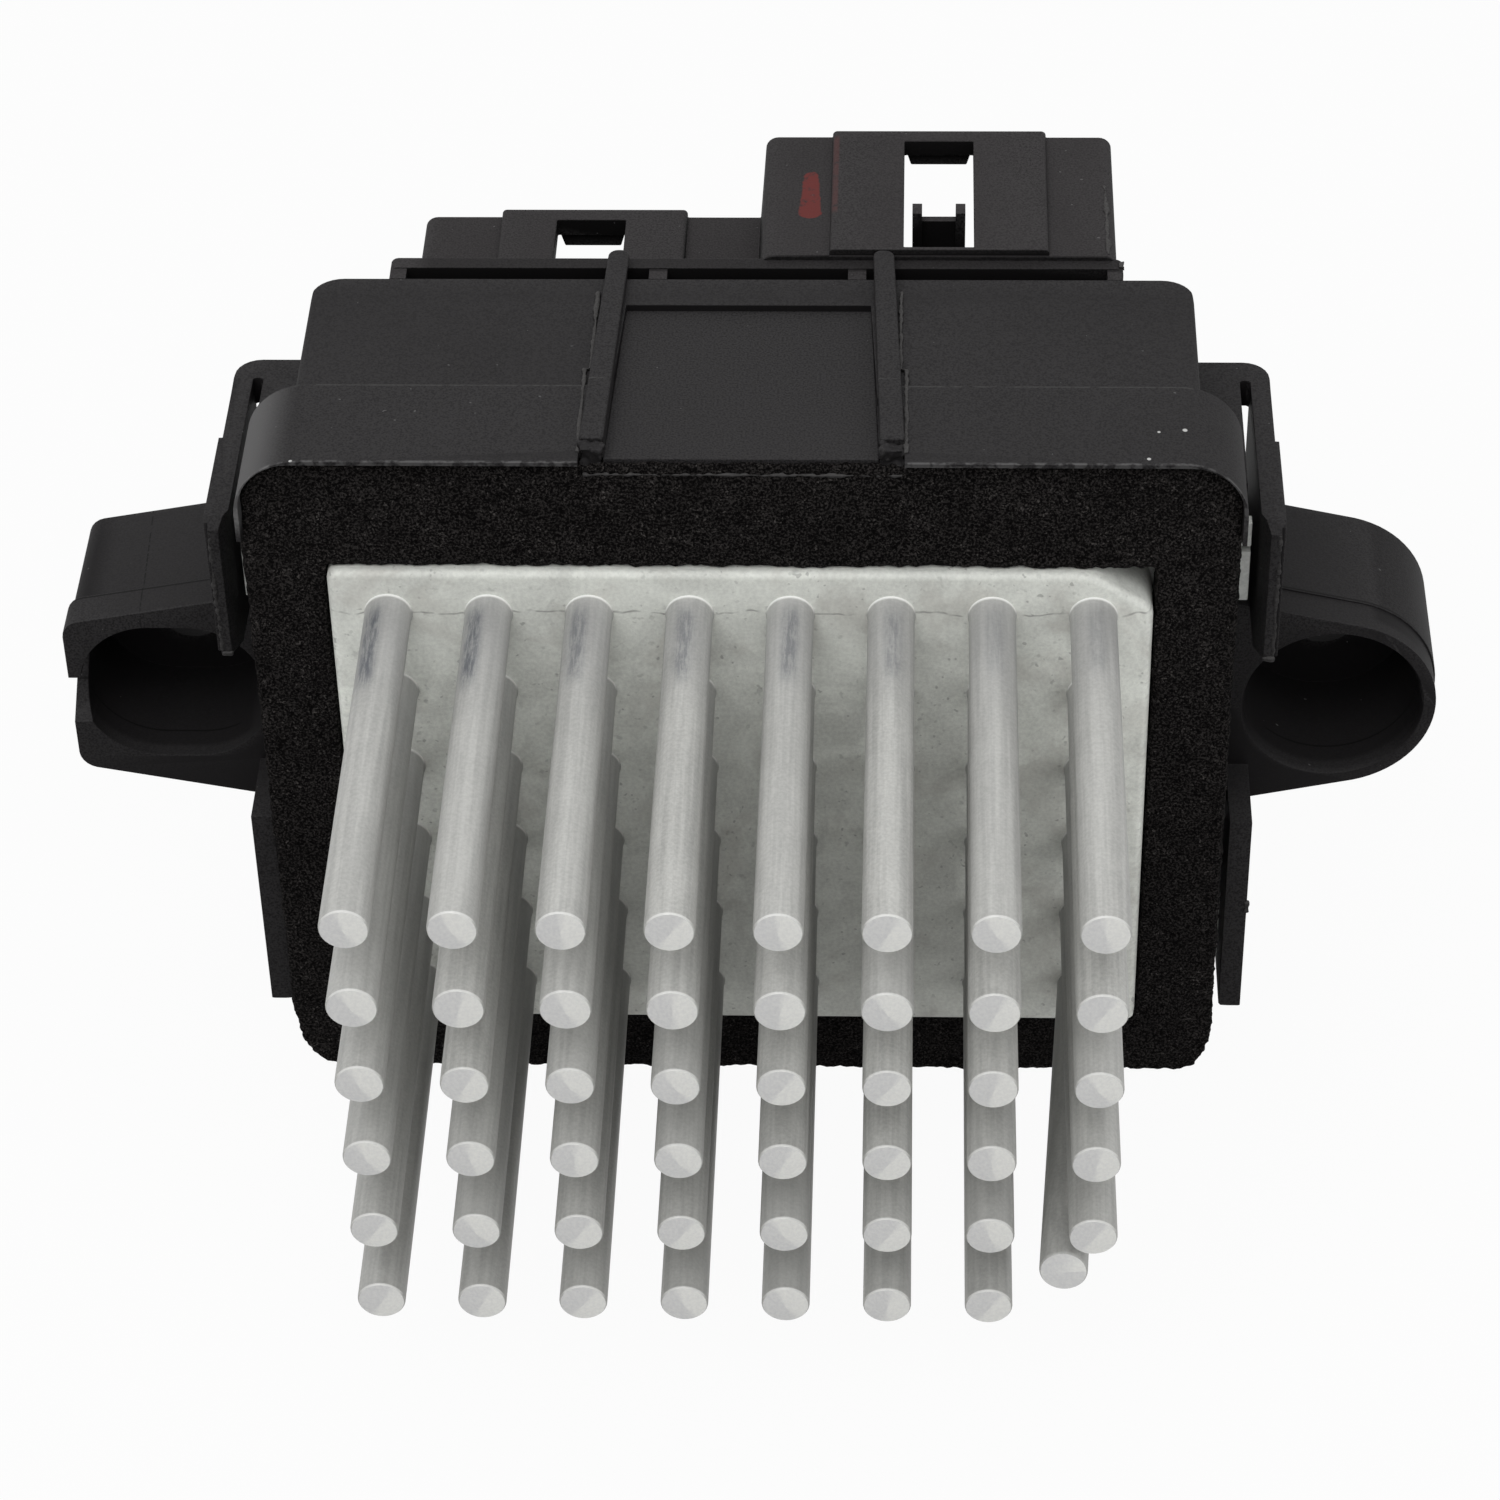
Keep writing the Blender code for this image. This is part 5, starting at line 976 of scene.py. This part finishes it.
def housing_burrs():
    """Flash along the ribs, the lip and the arms."""
    threads = []
    for side in (-1, 1):
        outer = RIB_X + side * 11.95
        rib_edge = burr("burr", (outer - 0.16, 0.8, 33.05), (outer + 0.16, 21.0, 33.32),
                        side * 3.0, 0.6)
        slide(rib_edge, lambda vert: vert.co.y > 11 * MM, x=-side * 0.45)
        threads.append(rib_edge)
        edge = BODY_X + side * 39.82
        threads.append(burr("burr", (edge - 0.13, 2.92, 12.6), (edge + 0.13, 3.18, 24.0), side * 7.0))
        near, far = sorted((edge - side * 0.8, edge))
        threads.append(burr("burr", (near, 2.93, 12.15), (far, 3.3, 12.45), side * 9.0))
    threads.append(burr("burr", (-11.2, 0.50, 31.22), (12.0, 0.72, 31.40), 5.0, 0.8))
    threads.append(burr("burr", (39.2, 2.9, -13.6), (39.5, 3.4, -12.7), 2.0))
    return join("housing_burrs", threads)


# Rear cover

def cover_plate():
    """Closing plate with its spacer tabs and the spigot that goes into the box."""
    left = COVER_X - 28.25
    right = COVER_X + 27.9
    tab_front = BOX_BACK + 0.3
    tab_back = PLATE_FRONT + 0.5
    plate = cuboid("cover_plate", (left, PLATE_FRONT, -23.9), (right, PLATE_BACK, 32.95))
    round_edges(plate, along(1), 0.6, 4)
    spigot = cuboid("spigot", (COVER_X - 26.45, BOX_BACK - 3.0, -22.45),
                    (COVER_X + 26.45, tab_back, 30.55))
    carve(spigot, cuboid("hollow", (COVER_X - 25.05, 15.0, -21.05),
                         (COVER_X + 25.05, PLATE_FRONT, 29.15)))
    fuse(plate, spigot)
    for side, near, far in ((-1, 26.9, 28.15), (1, 26.65, 27.8)):
        low, high = sorted((COVER_X + side * near, COVER_X + side * far))
        fuse(plate, cuboid("end_tab", (low, tab_front, -23.8), (high, tab_back, 32.85)))
        tab = COVER_X + side * 7.6
        for bottom, top in ((29.75, 32.85), (-23.8, -21.65)):
            fuse(plate, cuboid("tab", (tab - 0.7, tab_front, bottom), (tab + 0.7, tab_back, top)))
    return soften(plate, 0.14)


def sockets():
    """Both socket tubes in one moulding: rooms, raised roofs, latch windows, bars and catches."""
    lip = MOUTH - 0.03
    tube = cuboid("cover_sockets", (1.0, PLATE_BACK - 0.2, 15.3), (28.275, lip, 33.3))
    round_edges(tube, along(1), 1.0, 6)
    slide(tube, lambda vert: vert.co.x < 5 * MM and vert.co.z < 20 * MM, x=-1.3)
    signal = cuboid("signal", (-26.525, PLATE_BACK - 0.2, 9.75), (2.0, lip, 25.65))
    round_edges(signal, along(1, lambda m: m.x < -20), 1.0, 6)
    fuse(tube, signal)
    roofs = ((6.3, 23.1, 33.3, 0.58), (-20.3, -5.4, 25.65, 0.72))
    for low, high, top, rise in roofs:
        roof = cuboid("roof", (low, PLATE_BACK - 0.1, top - 0.7), (high, lip, top + rise))
        round_edges(roof, along(1, lambda m: m.z > 10), 0.35, 4)
        fuse(tube, roof)
    rooms = ((2.475, 26.875, 16.7, 32.5), (-25.125, -0.325, 11.15, 24.85))
    for low, high, bottom, top in rooms:
        room = cuboid("room", (low, PLATE_BACK, bottom), (high, MOUTH + 2, top))
        round_edges(room, along(1), 0.55, 3)
        carve(tube, room)
    windows = ((11.975, 17.375, 33.3), (-15.8, -10.3, 25.5))
    for low, high, top in windows:
        carve(tube, cuboid("latch_window", (low, PLATE_BACK + 0.3, top - 2.8),
                           (high, MOUTH - 1.5, top + 2.0)))
        catch = cuboid("catch", (low, MOUTH - 1.2, top - 1.85), (high, MOUTH - 0.2, top - 0.2))
        slide(catch, lambda vert: vert.co.z < (top - 1) * MM and vert.co.x < (low + 1) * MM, x=0.5)
        slide(catch, lambda vert: vert.co.z < (top - 1) * MM and vert.co.x > (high - 1) * MM, x=-0.5)
        fuse(tube, catch)
    return soften(tube, 0.09, clamp=False)


def cover_burrs():
    """Scraped flap along the power socket's right edge and a burr at the rail's end."""
    flap = burr("cover_burrs", (27.50, 26.0, 33.16), (27.75, 35.2, 33.36), 1.0)
    end = burr("burr", (28.35, 24.7, 32.7), (28.85, 25.4, 33.0), 6.0)
    return join("cover_burrs", [flap, end])


def keeper():
    """U-shaped latch keeper on its shelf inside the power socket."""
    shelf = cuboid("cover_latch_keeper", (12.73, PLATE_BACK - 0.5, 28.7), (16.63, 32.1, 29.5))
    fuse(shelf, cuboid("wall", (12.85, 31.5, 29.1), (16.5, 32.15, 32.55)))
    for low in (12.625, 15.975):
        fuse(shelf, cuboid("post", (low, 31.0, 28.9), (low + 0.75, 32.37, 33.6)))
    return soften(shelf, 0.08)


def dress_frame():
    """Finishes for the CAD nodes that stay: terminals, board, power parts and screws."""
    brass = plain_metal("tinned_brass_blades", (0.78, 0.74, 0.66, 1), 0.26, (1.0, 0.2, 1.0))
    zinc = plain_metal("zinc_plate", (0.62, 0.64, 0.67, 1), 0.32)
    spring = plain_metal("spring_steel_bar", (0.50, 0.51, 0.54, 1), 0.30, (0.2, 1.0, 1.0))
    finishes = {
        "power_terminal": brass, "signal_terminal": brass,
        "board_screw": zinc, "housing_screw": zinc, "clamp_screw": zinc,
        "transistor_clamp": spring,
        "circuit_board": plain_moulding("solder_mask_green", (0.010, 0.060, 0.028, 1), 0.32, 0.8),
        "power_transistor": plain_moulding("package_black", (0.020, 0.020, 0.021, 1), 0.42),
        "insulating_pad": plain_moulding("insulator_grey", (0.42, 0.45, 0.48, 1), 0.75),
        "filter_capacitor": plain_moulding("sleeve_blue_black", (0.025, 0.030, 0.070, 1), 0.28),
        "film_capacitor": plain_moulding("case_red_brown", (0.36, 0.085, 0.035, 1), 0.35),
        "shunt_resistor": plain_moulding("shunt_coat", (0.045, 0.045, 0.050, 1), 0.40),
        "control_chip": plain_moulding("chip_black", (0.016, 0.016, 0.017, 1), 0.38),
    }
    for name, node in frame["nodes"].items():
        if node.hide_render:
            continue
        found = [finish for start, finish in finishes.items() if name.startswith(start)]
        for index in range(max(1, len(node.material_slots))):
            if not node.material_slots:
                node.data.materials.append(found[0])
            node.material_slots[index].material = found[0]


def build():
    """Every piece with its finish and body."""
    pad_finish = pad_metal()
    finish_piece(pin_field(), pin_metal(), "heat_sink")
    finish_piece(pad(), pad_finish)
    finish_piece(flange(), flange_metal())
    seal = finish_piece(foam(), foam_finish(), "foam_gasket")
    charcoal_black = housing_finish()
    finish_piece(hood(), charcoal_black, "front_housing")
    for piece in (seat(), box(), sunk_panel(), right_side(), left_side(),
                  rib("housing_rib_left", -1), rib("housing_rib_right", 1),
                  rib_front("housing_rib_front_left", -1), rib_front("housing_rib_front_right", 1)):
        finish_piece(piece, charcoal_black)
    flash = flash_finish()
    finish_piece(housing_burrs(), flash)
    cover_black = cover_finish()
    finish_piece(cover_plate(), cover_black, "rear_cover")
    for piece in (sockets(), keeper()):
        finish_piece(piece, cover_black)
    finish_piece(cover_burrs(), flash)
    dress_frame()


# Floor, backdrop, lamps and camera

FLOOR_TONE = 0.60
FLOOR_GLOW_SHARE = 0.95
SKY_LIGHT = 0.43
LAMPS = (("key", (-0.12, -0.50, 0.72), (0.80, 0.60), 4.1),
         ("overhead", (-0.10, 0.15, 0.72), (0.6, 0.4), 0.8),
         ("right", (0.60, -0.50, 0.25), (0.4, 0.5), 0.7))
LENS = 111.81
SENSOR_WIDTH = 36.0
CAMERA_PLACE = (0.0130971, -0.2691985, 0.2370255)
CAMERA_TURN = (49.32192, 1.06597, 1.76347)


def seen_or_mirrored(tree):
    """1 for rays from the camera, a mirror or glass."""
    path = tree.nodes.new("ShaderNodeLightPath")
    total = None
    for name in ("Is Camera Ray", "Is Glossy Ray", "Is Transmission Ray"):
        if total is None:
            total = path.outputs[name]
            continue
        node = tree.nodes.new("ShaderNodeMath")
        node.operation = "ADD"
        node.use_clamp = True
        tree.links.new(total, node.inputs[0])
        tree.links.new(path.outputs[name], node.inputs[1])
        total = node.outputs[0]
    return total


def floor():
    """Pale floor that looks white and keeps a faint shadow of the object."""
    bpy.ops.object.select_all(action="DESELECT")
    bpy.ops.mesh.primitive_plane_add(size=4.0, location=(0, 0, BOTTOM * MM))
    plane = named("floor")
    made = bpy.data.materials.new("pale_floor")
    made.use_nodes = True
    tree = made.node_tree
    base = tree.nodes["Principled BSDF"]
    base.inputs["Base Color"].default_value = grey(FLOOR_TONE)
    base.inputs["Roughness"].default_value = 0.9
    glow = tree.nodes.new("ShaderNodeEmission")
    glow.inputs["Strength"].default_value = 1.0
    share = tree.nodes.new("ShaderNodeMath")
    share.operation = "MULTIPLY"
    share.inputs[1].default_value = FLOOR_GLOW_SHARE
    tree.links.new(seen_or_mirrored(tree), share.inputs[0])
    mix = tree.nodes.new("ShaderNodeMixShader")
    tree.links.new(share.outputs[0], mix.inputs[0])
    tree.links.new(base.outputs[0], mix.inputs[1])
    tree.links.new(glow.outputs[0], mix.inputs[2])
    tree.links.new(mix.outputs[0], tree.nodes["Material Output"].inputs["Surface"])
    plane.data.materials.append(made)


def world():
    """Soft light from all round, with a white backdrop behind the object."""
    made = bpy.data.worlds.new("studio")
    bpy.context.scene.world = made
    made.use_nodes = True
    tree = made.node_tree
    light = tree.nodes["Background"]
    light.inputs["Color"].default_value = grey(1.0)
    light.inputs["Strength"].default_value = SKY_LIGHT
    white = tree.nodes.new("ShaderNodeBackground")
    white.inputs["Color"].default_value = grey(1.0)
    white.inputs["Strength"].default_value = 1.0
    mix = tree.nodes.new("ShaderNodeMixShader")
    tree.links.new(seen_or_mirrored(tree), mix.inputs[0])
    tree.links.new(light.outputs[0], mix.inputs[1])
    tree.links.new(white.outputs[0], mix.inputs[2])
    tree.links.new(mix.outputs[0], tree.nodes["World Output"].inputs["Surface"])


def lamp(name, place, size, power):
    """Rectangular lamp that looks at the part's origin."""
    data = bpy.data.lights.new(name, "AREA")
    data.shape = "RECTANGLE"
    data.size, data.size_y = size
    data.energy = power
    made = bpy.data.objects.new(name, data)
    made.location = place
    aim = Vector((0.0, 0.0, 0.0)) - Vector(place)
    made.rotation_euler = aim.to_track_quat("-Z", "Y").to_euler()
    bpy.context.scene.collection.objects.link(made)


def studio():
    """Stage, lamps and the camera that was fitted to the pins in the photograph."""
    floor()
    world()
    for name, place, size, power in LAMPS:
        lamp(name, place, size, power)
    data = bpy.data.cameras.new("photo_view")
    data.lens = LENS
    data.sensor_width = SENSOR_WIDTH
    data.clip_start = 0.01
    camera = bpy.data.objects.new("photo_view", data)
    camera.location = CAMERA_PLACE
    camera.rotation_euler = [radians(angle) for angle in CAMERA_TURN]
    bpy.context.scene.collection.objects.link(camera)
    bpy.context.scene.camera = camera
    bpy.context.scene.view_settings.view_transform = "Standard"


build()
studio()
